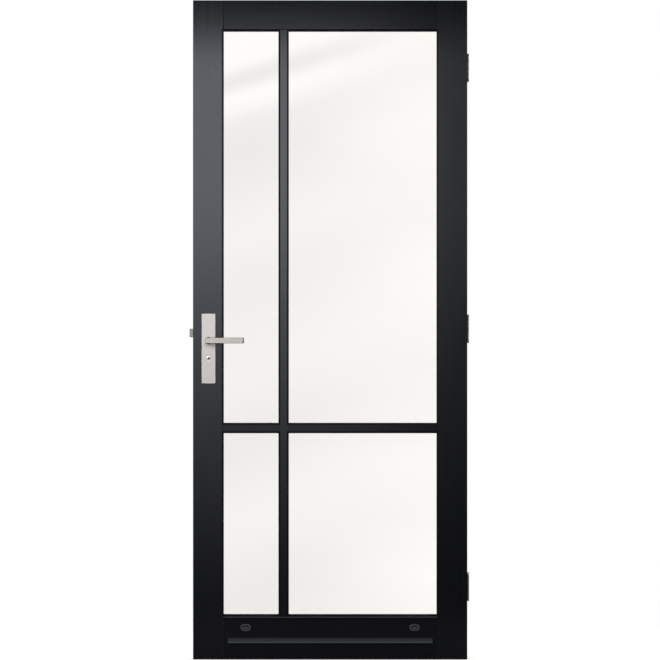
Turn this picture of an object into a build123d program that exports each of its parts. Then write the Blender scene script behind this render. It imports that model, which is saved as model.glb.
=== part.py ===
from build123d import *
import os

# A timber back door leaf: one sealed glass unit behind applied bars, a long plate lever handle with a
# mortise lock and a profile cylinder, two ventilation caps, a drip bar and three butt hinges.
# The origin is the middle of the bottom edge at half thickness. X runs to the right as seen from
# outside, Y runs from the outside to the inside and Z runs up. All lengths are in millimetres.

# Leaf
leaf_width = 880.0
leaf_height = 2115.0
leaf_thickness = 54.0
stile_width = 97.0
top_rail_height = 98.0
bottom_rail_height = 127.5
edge_arris = 1.5
joint_vee = 1.2
opening_bevel = 5.0
bevel_overrun = 1.0

# Dowels between rails and stiles
dowel_diameter = 14.0
dowel_length = 130.0
dowel_glue = 0.1
dowel_end_room = 1.0
low_dowel_height = 28.0
low_dowel_pitch = 56.0
top_dowel_inset = 22.0
top_dowel_pitch = 40.0

# Glazing
glass_cover = 15.0
edge_room = 5.0
lip_thickness = 13.0
tape_thickness = 2.0
tape_margin = 1.0
pane_thickness = 4.0
cavity_width = 16.0
sealant_width = 4.0
block_length = 100.0
block_end_distance = 150.0
bead_bevel = 5.0

# Sill bead below the glass
nose_overhang = 3.5
nose_bottom = 3.5
nose_depth = 6.0
nose_round = 1.4

# Glazing bars
bar_width = 31.0
bar_bevel = 5.0
bar_setback = 2.0
bar_tape_width = 21.0
left_pane_width = 178.0
low_pane_height = 584.0
spacer_bar_width = 20.0
spacer_bar_play = 0.3

# Ventilation caps
vent_inset = 72.0
vent_height = 102.5
vent_width = 35.0
vent_tall = 22.0
vent_flange = 3.0
vent_floor = 1.0
vent_rim = 3.2
vent_spigot_width = 26.0
vent_spigot_tall = 13.0
vent_spigot_depth = 15.0
vent_wall = 1.0
vent_hood_width = 19.0
vent_hood_tall = 8.5
vent_hood_drop = 2.0
vent_hood_lift = 2.4
vent_hood_round = 1.2
vent_fit = 0.2
vent_pocket_depth = 24.0
drain_diameter = 8.0
drain_depth = 19.5

# Drip bar
drip_length = 656.0
drip_low = 54.0
drip_tall = 16.0
drip_projection = 18.0
drip_top_edge = 1.5
drip_nose_tall = 4.0
drip_hollow = 2.6
drip_groove_width = 3.0
drip_groove_depth = 2.0
drip_groove_inset = 3.0
drip_tongue_depth = 8.0
drip_tongue_tall = 4.0
drip_tongue_rise = 6.0
drip_fit = 0.2

# Lock
backset = 50.0
spindle_height = 1023.3
cylinder_centre_distance = 55.0
faceplate_width = 20.0
faceplate_height = 235.0
faceplate_thickness = 3.0
faceplate_fit = 0.2
faceplate_screw_inset = 10.0
case_depth = 69.0
case_thickness = 16.0
case_above_spindle = 60.0
case_below_cylinder = 50.0
case_wall = 1.5
case_room = 0.5
pillar_diameter = 6.0
pillar_inset = 9.0
bolt_window_play = 0.4

# Follower and latch
square_size = 8.0
square_play = 0.1
hub_diameter = 24.0
hub_length = 12.0
journal_diameter = 16.0
journal_play = 0.08
journal_end_play = 0.1
arm_width = 6.0
arm_radius = 18.0
arm_thickness = 6.0
latch_throw = 12.0
latch_tall = 28.0
latch_thick = 11.0
latch_inside = 17.0
latch_tip = 2.0
latch_rise = 24.0
tail_tall = 7.0
tail_thick = 6.0
hook_width = 4.0
hook_play = 0.5
hook_depth = 7.5
spring_rise = 9.0
spring_radius = 2.8
spring_wire = 0.8
spring_turns = 9
peg_radius = 1.9
peg_length = 10.0

# Deadbolt
bolt_throw = 20.0
bolt_tall = 38.0
bolt_thick = 11.0
bolt_length = 32.5
bolt_rise = 3.5
bolt_tail_thick = 4.0
bolt_tail_tall = 17.5
bolt_tail_length = 36.0
bolt_tail_lap = 5.5
bolt_tail_start = 28.0
bolt_notch_width = 8.0
bolt_notch_depth = 3.5
guide_diameter = 5.0
guide_start = 35.0
guide_rise = 10.5
guide_play = 0.2

# Profile cylinder
cylinder_length = 70.0
cylinder_radius = 8.5
cylinder_tall = 33.0
stem_width = 10.0
cylinder_fit = 0.4
cylinder_wood_fit = 0.8
plug_diameter = 13.0
plug_play = 0.05
plug_tip_diameter = 8.0
plug_tip_length = 3.0
cam_length = 9.8
cam_end_play = 0.2
cam_hub_radius = 8.0
cam_radius = 15.3
cam_tongue_width = 9.0
cam_room = 0.9
keyway_width = 2.2
keyway_tall = 8.5
keyway_depth = 22.0
fixing_drop = 20.3
fixing_screw_length = 56.0
fixing_screw_diameter = 5.0

# Handle plates
plate_width = 44.0
plate_height = 224.0
plate_depth = 9.0
plate_wall = 2.0
plate_arris = 0.8
plate_below_spindle = 137.8
boss_wall = 3.0
bush_diameter = 22.0
bush_length = 8.0
post_diameter = 8.0
post_inset = 13.0
post_reach = 31.0
post_hole_play = 0.5
plate_screw_diameter = 4.0
plate_screw_reach = 14.0
thread_play = 0.05

# Lever
lever_height = 18.2
lever_reach = 111.8
lever_thickness = 10.0
lever_projection = 59.0
lever_round = 1.5
lever_neck_round = 5.0
lever_plate_gap = 1.5
lever_collar_diameter = 18.0
lever_collar_depth = 7.0
lever_play = 0.08
lever_socket_wall = 7.0
spindle_end_room = 1.0
spindle_hole_diameter = 18.0
grub_diameter = 5.0
grub_from_grip = 17.0

# Hinges
hinge_height = 89.0
hinge_half_width = 44.5
flap_thickness = 3.0
flap_gap = 3.0
flap_corner = 6.0
knuckle_diameter = 12.5
knuckle_room = 0.5
pin_diameter = 8.0
pin_play = 0.05
pin_head_tall = 2.5
knuckle_gap = 0.4
bearing_tall = 3.5
bearing_play = 0.1
hinge_low = 230.0
hinge_middle = 1060.0
hinge_top_inset = 215.0
hinge_screw_edge = 9.0
hinge_screw_column_pitch = 17.0
hinge_screw_outer_pitch = 66.0
hinge_screw_inner_pitch = 24.0

# Countersunk screws
screw_diameter = 4.5
screw_head_diameter = 8.6
screw_pilot_play = 0.1
recess_length = 4.6
recess_width = 1.0
recess_depth = 1.4
faceplate_screw_length = 30.0
hinge_screw_length = 35.0
frame_hole_diameter = 5.2

# Lines worked out from the sizes above
half_width = leaf_width / 2
half_thickness = leaf_thickness / 2
face_outside = -half_thickness
face_inside = half_thickness
sight_side = half_width - stile_width
sight_low = bottom_rail_height + glass_cover
sight_high = leaf_height - top_rail_height
sight_middle = (sight_low + sight_high) / 2
sight_width = 2 * sight_side
sight_tall = sight_high - sight_low
rebate_side = sight_side + glass_cover
rebate_low = bottom_rail_height
rebate_high = sight_high + glass_cover
lip_back = face_outside + lip_thickness
glass_outside = lip_back + tape_thickness
glass_inside = glass_outside + 2 * pane_thickness + cavity_width
bead_back = glass_inside + tape_thickness
glass_grow = glass_cover - edge_room
upright_x = -sight_side + left_pane_width + bar_width / 2
cross_z = sight_low + low_pane_height + bar_width / 2
lock_x = -half_width + backset
cylinder_height = spindle_height - cylinder_centre_distance
case_front = -half_width + faceplate_thickness
case_back = case_front + case_depth
case_low = cylinder_height - case_below_cylinder
case_high = spindle_height + case_above_spindle
case_half = case_thickness / 2
case_inner = case_half - case_wall
case_middle = (case_low + case_high) / 2
latch_height = spindle_height + latch_rise
plate_low = spindle_height - plate_below_spindle
plate_middle = plate_low + plate_height / 2
post_heights = (plate_low + post_inset, plate_low + plate_height - post_inset)
plate_face = half_thickness + plate_depth
pin_x = half_width + flap_gap / 2
pin_y = face_inside + knuckle_room + knuckle_diameter / 2
flap_edge = pin_y - hinge_half_width
flap_end = pin_y - knuckle_diameter / 2 - knuckle_room
hinge_heights = (leaf_height - hinge_top_inset, hinge_middle, hinge_low)
hinge_names = ("top", "middle", "bottom")
knuckle_tall = (hinge_height - 2 * knuckle_gap - 2 * bearing_tall) / 5


def elevation(depth):
    """The upright plane at this depth, seen from outside: its own X is X and its own Y is Z."""
    return Plane.XZ.offset(-depth)


def block(x, y, z, mode=Mode.ADD):
    """A box between two values of X, two of Y and two of Z."""
    with Locations(((x[0] + x[1]) / 2, (y[0] + y[1]) / 2, (z[0] + z[1]) / 2)):
        Box(x[1] - x[0], y[1] - y[0], z[1] - z[0], mode=mode)


def countersunk_screw(diameter, head_diameter, length):
    """A screw that points down from a flat head at the origin, with a cross recess in the head."""
    radius, head_radius = diameter / 2, head_diameter / 2
    head_depth = head_radius - radius
    with BuildPart() as screw:
        with BuildSketch(Plane.XZ):
            with BuildLine():
                Polyline(
                    (0, 0),
                    (head_radius, 0),
                    (radius, -head_depth),
                    (radius, radius - length),
                    (0, -length),
                    close=True,
                )
            make_face()
        revolve(axis=Axis.Z)
        Box(recess_length, recess_width, 2 * recess_depth, mode=Mode.SUBTRACT)
        Box(recess_width, recess_length, 2 * recess_depth, mode=Mode.SUBTRACT)
    return screw.part


# Timber frame of the leaf
dowel_rows = (
    low_dowel_height,
    low_dowel_height + low_dowel_pitch,
    leaf_height - top_dowel_inset - top_dowel_pitch,
    leaf_height - top_dowel_inset,
)


def dowel_holes(side, heading, rows):
    """Blind holes for the dowels in the joint at x = side, drilled away from the heading."""
    with Locations(*[Plane((side, 0, z), z_dir=(heading, 0, 0)) for z in rows]):
        Hole(dowel_diameter / 2 + dowel_glue, depth=dowel_length / 2 + dowel_end_room)


with BuildPart() as opening_cutter:
    with BuildSketch(elevation(face_outside + opening_bevel)):
        with Locations((0, sight_middle)):
            Rectangle(sight_width, sight_tall)
    extrude(amount=opening_bevel + bevel_overrun, taper=-45)


def cut_opening():
    """The glazing rebate from the inside and the bevel round the opening on the outside."""
    block(
        (-rebate_side, rebate_side),
        (lip_back, face_inside),
        (rebate_low, rebate_high),
        mode=Mode.SUBTRACT,
    )
    add(opening_cutter.part, mode=Mode.SUBTRACT)


def cylinder_outline(depth, grow=0.0):
    """The outline of the profile cylinder on the elevation at this depth, grown all round."""
    round_drop = cylinder_tall - cylinder_radius - stem_width / 2
    with BuildSketch(elevation(depth)) as outline:
        with Locations((lock_x, cylinder_height)):
            Circle(cylinder_radius + grow)
        with Locations((lock_x, cylinder_height - round_drop / 2)):
            Rectangle(stem_width + 2 * grow, round_drop)
        with Locations((lock_x, cylinder_height - round_drop)):
            Circle(stem_width / 2 + grow)
    return outline.sketch


def faceplate_outline(distance, grow=0.0):
    """The round ended outline of the faceplate, so far in from the closing edge."""
    with BuildSketch(Plane.YZ.offset(-half_width + distance)) as outline:
        with Locations((0, case_middle)):
            SlotOverall(faceplate_height + 2 * grow, faceplate_width + 2 * grow, rotation=90)
    return outline.sketch


faceplate_screw_heights = (
    case_middle - faceplate_height / 2 + faceplate_screw_inset,
    case_middle + faceplate_height / 2 - faceplate_screw_inset,
)

with BuildPart() as lock_stile:
    block((-half_width, -sight_side), (face_outside, face_inside), (0, leaf_height))
    outer_edges = lock_stile.edges().filter_by(Axis.Z).group_by(Axis.X)[0]
    chamfer(outer_edges + lock_stile.edges().filter_by(Axis.X), length=edge_arris)
    cut_opening()
    dowel_holes(-sight_side, 1, dowel_rows)
    # The lock's mortise and the seat of its faceplate
    block(
        (-half_width, case_back + case_room),
        (-case_half - case_room, case_half + case_room),
        (case_low - case_room, case_high + case_room),
        mode=Mode.SUBTRACT,
    )
    extrude(faceplate_outline(0, faceplate_fit), amount=faceplate_thickness, mode=Mode.SUBTRACT)
    with Locations(
        *[
            Plane((-half_width + faceplate_thickness, 0, z), z_dir=(-1, 0, 0))
            for z in faceplate_screw_heights
        ]
    ):
        Hole(screw_diameter / 2 + screw_pilot_play, depth=faceplate_screw_length)
    # The holes through the stile for the spindle, the cylinder and the plate posts
    extrude(
        cylinder_outline(face_inside, cylinder_wood_fit),
        amount=leaf_thickness,
        mode=Mode.SUBTRACT,
    )
    with BuildSketch(elevation(face_inside)):
        with Locations((lock_x, spindle_height)):
            Circle(spindle_hole_diameter / 2)
        with Locations(*[(lock_x, z) for z in post_heights]):
            Circle(post_diameter / 2 + post_hole_play)
    extrude(amount=leaf_thickness, mode=Mode.SUBTRACT)

hinge_screw_places = [
    (flap_edge + hinge_screw_edge, hinge_screw_outer_pitch / 2),
    (flap_edge + hinge_screw_edge, -hinge_screw_outer_pitch / 2),
    (flap_edge + hinge_screw_edge + hinge_screw_column_pitch, hinge_screw_inner_pitch / 2),
    (flap_edge + hinge_screw_edge + hinge_screw_column_pitch, -hinge_screw_inner_pitch / 2),
]


def flap_outline(x, height):
    """The flat part of a hinge leaf on the plane at x, with rounded corners away from the pin."""
    with BuildSketch(Plane.YZ.offset(x)) as outline:
        with Locations(((flap_edge + flap_end) / 2, height)):
            Rectangle(flap_end - flap_edge, hinge_height)
        fillet(outline.vertices().group_by(Axis.X)[0], radius=flap_corner)
    return outline.sketch


with BuildPart() as hinge_stile:
    block((sight_side, half_width), (face_outside, face_inside), (0, leaf_height))
    outer_edges = hinge_stile.edges().filter_by(Axis.Z).group_by(Axis.X)[-1]
    chamfer(outer_edges + hinge_stile.edges().filter_by(Axis.X), length=edge_arris)
    cut_opening()
    dowel_holes(sight_side, -1, dowel_rows)
    for height in hinge_heights:
        extrude(
            flap_outline(half_width - flap_thickness, height),
            amount=flap_thickness,
            mode=Mode.SUBTRACT,
        )
        with Locations(
            *[
                Plane((half_width - flap_thickness, y, height + rise), z_dir=(1, 0, 0))
                for y, rise in hinge_screw_places
            ]
        ):
            Hole(screw_diameter / 2 + screw_pilot_play, depth=hinge_screw_length)

with BuildPart() as top_rail:
    block((-sight_side, sight_side), (face_outside, face_inside), (sight_high, leaf_height))
    top_edges = top_rail.edges().filter_by(Axis.X).group_by(Axis.Z)[-1]
    chamfer(top_edges, length=edge_arris)
    chamfer(top_rail.edges().filter_by(Axis.Z), length=joint_vee)
    cut_opening()
    dowel_holes(-sight_side, -1, dowel_rows[2:])
    dowel_holes(sight_side, 1, dowel_rows[2:])

vent_places = [
    (-sight_side + vent_inset, vent_height),
    (sight_side - vent_inset, vent_height),
]
drip_tongue_low = drip_low + drip_tongue_rise

with BuildPart() as bottom_rail:
    block((-sight_side, sight_side), (face_outside, face_inside), (0, bottom_rail_height))
    low_edges = bottom_rail.edges().filter_by(Axis.X).group_by(Axis.Z)[0]
    chamfer(low_edges, length=edge_arris)
    chamfer(bottom_rail.edges().filter_by(Axis.Z), length=joint_vee)
    dowel_holes(-sight_side, -1, dowel_rows[:2])
    dowel_holes(sight_side, 1, dowel_rows[:2])
    # A pocket behind each ventilation cap, and the drain hole from the glazing rebate into it
    with BuildSketch(elevation(face_outside + vent_pocket_depth)):
        with Locations(*vent_places):
            SlotOverall(vent_spigot_width + 2 * vent_fit, vent_spigot_tall + 2 * vent_fit)
    extrude(amount=vent_pocket_depth, mode=Mode.SUBTRACT)
    with Locations(
        *[Plane((x, face_outside + drain_depth, rebate_low)) for x, z in vent_places]
    ):
        Hole(drain_diameter / 2, depth=rebate_low - vent_height)
    # The kerf that holds the tongue of the drip bar
    block(
        (-drip_length / 2, drip_length / 2),
        (face_outside, face_outside + drip_tongue_depth + drip_fit),
        (drip_tongue_low - drip_fit, drip_tongue_low + drip_tongue_tall + drip_fit),
        mode=Mode.SUBTRACT,
    )

with BuildPart() as rail_dowels:
    with Locations(
        *[Plane((x, 0, z), z_dir=(1, 0, 0)) for x in (-sight_side, sight_side) for z in dowel_rows]
    ):
        Cylinder(dowel_diameter / 2, dowel_length)


# Sealed glass unit and its bedding
def glazing_ring(outer, inner, deep_face, thickness):
    """A closed frame whose edges lie these distances outside the sight line."""
    with BuildPart() as ring:
        with BuildSketch(elevation(deep_face)):
            with Locations((0, sight_middle)):
                Rectangle(sight_width + 2 * outer, sight_tall + 2 * outer)
                Rectangle(sight_width + 2 * inner, sight_tall + 2 * inner, mode=Mode.SUBTRACT)
        extrude(amount=thickness)
    return ring.part


def glass_pane(outer_face):
    """One pane of the sealed unit, from its outer face inwards."""
    with BuildPart() as pane:
        with BuildSketch(elevation(outer_face + pane_thickness)):
            with Locations((0, sight_middle)):
                Rectangle(sight_width + 2 * glass_grow, sight_tall + 2 * glass_grow)
        extrude(amount=pane_thickness)
    return pane.part


cavity_outside = glass_outside + pane_thickness
cavity_inside = cavity_outside + cavity_width
spacer_grow = glass_grow - sealant_width

with BuildPart() as pane_outer:
    add(glass_pane(glass_outside))

with BuildPart() as pane_inner:
    add(glass_pane(cavity_inside))

with BuildPart() as glass_spacer:
    add(glazing_ring(spacer_grow, 0, cavity_inside, cavity_width))

with BuildPart() as edge_sealant:
    add(glazing_ring(glass_grow, spacer_grow, cavity_inside, cavity_width))

with BuildPart() as glazing_tape_outer:
    add(glazing_ring(glass_grow, tape_margin, glass_outside, tape_thickness))

with BuildPart() as glazing_tape_inner:
    add(glazing_ring(glass_grow, tape_margin, bead_back, tape_thickness))

with BuildPart() as spacer_bars:
    with BuildSketch(elevation(cavity_inside - spacer_bar_play)):
        with Locations((upright_x, sight_middle)):
            Rectangle(spacer_bar_width, sight_tall)
        with Locations((0, cross_z)):
            Rectangle(sight_width, spacer_bar_width)
    extrude(amount=cavity_width - 2 * spacer_bar_play)

block_x = sight_side - block_end_distance
block_low_z = sight_low + block_end_distance
block_high_z = sight_high - block_end_distance
half_block = block_length / 2

with BuildPart() as setting_blocks:
    for x in (-block_x, block_x):
        for low in (rebate_low, rebate_high - edge_room):
            block(
                (x - half_block, x + half_block),
                (glass_outside, glass_inside),
                (low, low + edge_room),
            )
    for z in (block_low_z, block_high_z):
        for left in (-rebate_side, rebate_side - edge_room):
            block(
                (left, left + edge_room),
                (glass_outside, glass_inside),
                (z - half_block, z + half_block),
            )


# Inner glazing beads, mitred at the corners
def glazing_bead(corners, run):
    """A bead between four corners, bevelled along its sight edge, with its length along run."""
    with BuildPart() as bead:
        with BuildSketch(elevation(face_inside)):
            with BuildLine():
                Polyline(*corners, close=True)
            make_face()
        extrude(amount=face_inside - bead_back)
        inside_edges = bead.edges().filter_by(run).group_by(Axis.Y)[-1]
        chamfer(inside_edges.sort_by(SortBy.LENGTH)[0], length=bead_bevel)
    return bead.part


rebate_corners = [
    (-rebate_side, rebate_low),
    (rebate_side, rebate_low),
    (rebate_side, rebate_high),
    (-rebate_side, rebate_high),
]
sight_corners = [
    (-sight_side, sight_low),
    (sight_side, sight_low),
    (sight_side, sight_high),
    (-sight_side, sight_high),
]


def bead_corners(first, second):
    """The outline of the bead that runs between two corners of the opening."""
    return (
        rebate_corners[first],
        rebate_corners[second],
        sight_corners[second],
        sight_corners[first],
    )


with BuildPart() as bead_bottom:
    add(glazing_bead(bead_corners(0, 1), Axis.X))

with BuildPart() as bead_hinge_side:
    add(glazing_bead(bead_corners(1, 2), Axis.Z))

with BuildPart() as bead_top:
    add(glazing_bead(bead_corners(2, 3), Axis.X))

with BuildPart() as bead_lock_side:
    add(glazing_bead(bead_corners(3, 0), Axis.Z))

# Sill bead, whose sloping nose throws water clear of the bottom rail
with BuildPart() as sill_bead:
    nose_face = face_outside - nose_overhang
    nose_low = rebate_low + nose_bottom
    with BuildSketch(Plane.YZ.offset(-sight_side)) as sill_section:
        with BuildLine():
            Polyline(
                (lip_back, rebate_low),
                (face_outside, rebate_low),
                (face_outside, nose_low),
                (nose_face, nose_low),
                (nose_face, nose_low + nose_depth),
                (lip_back, sight_low),
                close=True,
            )
        make_face()
        fillet(sill_section.vertices().group_by(Axis.X)[0], radius=nose_round)
    extrude(amount=sight_width)


# Applied glazing bars, scribed over the bevels that they meet
def bar_section(outside):
    """Corners of the bar's section as (across, depth), for the outside or the inside of the glass."""
    away = -1 if outside else 1
    back = lip_back if outside else bead_back
    face = away * (half_thickness - bar_setback)
    shoulder = face - away * bar_bevel
    half = bar_width / 2
    return [
        (-half, back),
        (-half, shoulder),
        (-half + bar_bevel, face),
        (half - bar_bevel, face),
        (half, shoulder),
        (half, back),
    ]


def upright_bar(outside, neighbours):
    """The full height bar, cut to fit the pieces at its ends."""
    with BuildPart() as bar:
        with BuildSketch(Plane.XY.offset(rebate_low)):
            with BuildLine():
                Polyline(*[(upright_x + across, y) for across, y in bar_section(outside)], close=True)
            make_face()
        extrude(amount=rebate_high - rebate_low)
        for neighbour in neighbours:
            add(neighbour.part, mode=Mode.SUBTRACT)
    return bar.part


def cross_bar(outside, start, end, neighbours):
    """A bar from start to end in X, cut to fit the stile or bead and the upright bar."""
    with BuildPart() as bar:
        with BuildSketch(Plane.YZ.offset(start)):
            with BuildLine():
                Polyline(*[(y, cross_z + across) for across, y in bar_section(outside)], close=True)
            make_face()
        extrude(amount=end - start)
        for neighbour in neighbours:
            add(neighbour.part, mode=Mode.SUBTRACT)
    return bar.part


upright_face = bar_width / 2 - bar_bevel
stile_reach = sight_side + opening_bevel - bar_setback
bead_reach = sight_side + bead_bevel - bar_setback

with BuildPart() as bar_upright_outer:
    add(upright_bar(True, (top_rail, sill_bead)))

with BuildPart() as bar_cross_left_outer:
    add(cross_bar(True, -stile_reach, upright_x - upright_face, (lock_stile, bar_upright_outer)))

with BuildPart() as bar_cross_right_outer:
    add(cross_bar(True, upright_x + upright_face, stile_reach, (hinge_stile, bar_upright_outer)))

with BuildPart() as bar_upright_inner:
    add(upright_bar(False, (bead_top, bead_bottom)))

with BuildPart() as bar_cross_left_inner:
    add(cross_bar(False, -bead_reach, upright_x - upright_face, (bead_lock_side, bar_upright_inner)))

with BuildPart() as bar_cross_right_inner:
    add(cross_bar(False, upright_x + upright_face, bead_reach, (bead_hinge_side, bar_upright_inner)))

with BuildPart() as bar_tapes:
    for deep_face in (glass_outside, bead_back):
        with BuildSketch(elevation(deep_face)):
            with Locations((upright_x, sight_middle)):
                Rectangle(bar_tape_width, sight_tall - 2 * tape_margin)
            with Locations((0, cross_z)):
                Rectangle(sight_width - 2 * tape_margin, bar_tape_width)
        extrude(amount=tape_thickness)


# Ventilation caps: an oval rim, a hood over the lower half and a spigot into the rail
def vent_cap(x):
    """A cap centred on x: the slot above its hood opens into the spigot."""
    hood_height = vent_height - vent_hood_drop
    field_width, field_tall = vent_width - 2 * vent_rim, vent_tall - 2 * vent_rim
    bore_width, bore_tall = vent_spigot_width - 2 * vent_wall, vent_spigot_tall - 2 * vent_wall
    with BuildPart() as cap:
        with BuildSketch(elevation(face_outside)):
            with Locations((x, vent_height)):
                SlotOverall(vent_width, vent_tall)
        extrude(amount=vent_flange)
        fillet(cap.faces().sort_by(Axis.Y)[0].edges(), radius=vent_floor)
        with BuildSketch(elevation(face_outside - vent_floor)):
            with Locations((x, vent_height)):
                SlotOverall(field_width, field_tall)
        extrude(amount=vent_flange, mode=Mode.SUBTRACT)
        with BuildSketch(elevation(face_outside + vent_spigot_depth)):
            with Locations((x, vent_height)):
                SlotOverall(vent_spigot_width, vent_spigot_tall)
                SlotOverall(bore_width, bore_tall, mode=Mode.SUBTRACT)
        extrude(amount=vent_spigot_depth)
        with BuildSketch(elevation(face_outside)):
            with Locations((x, vent_height)):
                SlotOverall(bore_width, bore_tall)
            with Locations((x, vent_height - bore_tall / 2)):
                Rectangle(bore_width, bore_tall, mode=Mode.SUBTRACT)
        extrude(amount=vent_floor, mode=Mode.SUBTRACT)
    with BuildPart() as hood:
        with BuildSketch(elevation(face_outside)):
            with Locations((x, hood_height)):
                SlotOverall(vent_hood_width, vent_hood_tall)
        extrude(amount=vent_hood_lift)
        fillet(hood.faces().sort_by(Axis.Y)[0].edges(), radius=vent_hood_round)
    with BuildPart() as whole:
        add(cap.part)
        add(hood.part)
    return whole.part


with BuildPart() as vent_cap_left:
    add(vent_cap(vent_places[0][0]))

with BuildPart() as vent_cap_right:
    add(vent_cap(vent_places[1][0]))

# Drip bar: a hollow upper face, a nose with a groove below it and a tongue in the rail
with BuildPart() as drip_bar:
    drip_high = drip_low + drip_tall
    drip_face = face_outside - drip_projection
    groove_out = drip_face + drip_groove_inset
    groove_in = groove_out + drip_groove_width
    tongue_in = face_outside + drip_tongue_depth
    with BuildSketch(Plane.YZ.offset(-drip_length / 2)):
        with BuildLine():
            top_edge = Line((face_outside, drip_high), (face_outside - drip_top_edge, drip_high))
            hollow = SagittaArc(
                top_edge @ 1,
                (drip_face, drip_low + drip_nose_tall),
                drip_hollow,
            )
            Polyline(
                hollow @ 1,
                (drip_face, drip_low),
                (groove_out, drip_low),
                (groove_out, drip_low + drip_groove_depth),
                (groove_in, drip_low + drip_groove_depth),
                (groove_in, drip_low),
                (face_outside, drip_low),
                (face_outside, drip_tongue_low),
                (tongue_in, drip_tongue_low),
                (tongue_in, drip_tongue_low + drip_tongue_tall),
                (face_outside, drip_tongue_low + drip_tongue_tall),
                (face_outside, drip_high),
            )
        make_face()
    extrude(amount=drip_length)

# Lock case, cover and faceplate
bolt_low = cylinder_height + bolt_rise - bolt_tall / 2
bolt_high = bolt_low + bolt_tall
bolt_window = ((bolt_low + bolt_high) / 2, bolt_tall, bolt_thick)
latch_window = (latch_height, latch_tall, latch_thick)
fixing_height = cylinder_height - fixing_drop
guide_place = (-half_width + guide_start, cylinder_height + cam_radius + guide_rise + cam_room)
pillar_places = [
    (x, z)
    for x in (case_front + pillar_inset, case_back - pillar_inset)
    for z in (case_low + pillar_inset, case_high - pillar_inset)
]


def bolt_windows(x, depth):
    """The openings for latch, deadbolt and cylinder screw, cut from x through this depth."""
    with BuildSketch(Plane.YZ.offset(x)) as windows:
        for middle, tall, thick in (latch_window, bolt_window):
            with Locations((0, middle)):
                Rectangle(thick + 2 * bolt_window_play, tall + 2 * bolt_window_play)
        with Locations((0, fixing_height)):
            Circle(fixing_screw_diameter / 2 + screw_pilot_play)
    extrude(windows.sketch, amount=depth, mode=Mode.SUBTRACT)


with BuildPart() as lock_case:
    block((case_front, case_back), (-case_half, case_inner), (case_low, case_high))
    block(
        (case_front + case_wall, case_back - case_wall),
        (-case_inner, case_inner),
        (case_low + case_wall, case_high - case_wall),
        mode=Mode.SUBTRACT,
    )
    with BuildSketch(elevation(case_inner)):
        with Locations(*pillar_places):
            Circle(pillar_diameter / 2)
        with Locations(guide_place):
            Circle(guide_diameter / 2)
    extrude(amount=2 * case_inner)
    bolt_windows(case_front, case_wall)
    with BuildSketch(elevation(-case_inner)):
        with Locations((lock_x, spindle_height)):
            Circle(journal_diameter / 2 + journal_play)
    extrude(amount=case_wall, mode=Mode.SUBTRACT)
    extrude(cylinder_outline(-case_inner, cylinder_fit), amount=case_wall, mode=Mode.SUBTRACT)

with BuildPart() as lock_cover:
    block((case_front, case_back), (case_inner, case_half), (case_low, case_high))
    with BuildSketch(elevation(case_half)):
        with Locations((lock_x, spindle_height)):
            Circle(journal_diameter / 2 + journal_play)
    extrude(amount=case_wall, mode=Mode.SUBTRACT)
    extrude(cylinder_outline(case_half, cylinder_fit), amount=case_wall, mode=Mode.SUBTRACT)

with BuildPart() as lock_faceplate:
    extrude(faceplate_outline(0), amount=faceplate_thickness)
    bolt_windows(-half_width, faceplate_thickness)
    with Locations(*[Plane((-half_width, 0, z), z_dir=(-1, 0, 0)) for z in faceplate_screw_heights]):
        CounterSinkHole(
            screw_diameter / 2 + screw_pilot_play,
            screw_head_diameter / 2 + screw_pilot_play,
            depth=faceplate_thickness,
        )
    with Locations(Plane((-half_width, 0, fixing_height), z_dir=(-1, 0, 0))):
        CounterSinkHole(
            fixing_screw_diameter / 2 + screw_pilot_play,
            screw_head_diameter / 2 + screw_pilot_play,
            depth=faceplate_thickness,
        )

with BuildPart() as lock_screws:
    with Locations(*[Plane((-half_width, 0, z), z_dir=(-1, 0, 0)) for z in faceplate_screw_heights]):
        add(countersunk_screw(screw_diameter, screw_head_diameter, faceplate_screw_length))

# Follower: a hub on the square spindle whose arm draws the latch back
with BuildPart() as follower:
    with BuildSketch(elevation(hub_length / 2)):
        with Locations((lock_x, spindle_height)):
            Circle(hub_diameter / 2)
    extrude(amount=hub_length)
    with BuildSketch(elevation(arm_thickness / 2)):
        with Locations((lock_x, spindle_height + arm_radius / 2)):
            Rectangle(arm_width, arm_radius)
        with Locations((lock_x, spindle_height + arm_radius)):
            Circle(arm_width / 2)
    extrude(amount=arm_thickness)
    journal_half = case_half - journal_end_play
    with BuildSketch(elevation(journal_half)):
        with Locations((lock_x, spindle_height)):
            Circle(journal_diameter / 2)
    extrude(amount=2 * journal_half)
    with BuildSketch(elevation(journal_half)):
        with Locations((lock_x, spindle_height)):
            Rectangle(square_size + 2 * square_play, square_size + 2 * square_play)
    extrude(amount=2 * journal_half, mode=Mode.SUBTRACT)

# Latch bolt: a bevelled head, and a tail whose hook stands behind the follower's arm
latch_back = case_front + latch_inside
hook_front = lock_x + arm_width / 2 + hook_play
tail_low = spindle_height + arm_radius + arm_width / 2 + case_wall
spring_height = latch_height + spring_rise

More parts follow.
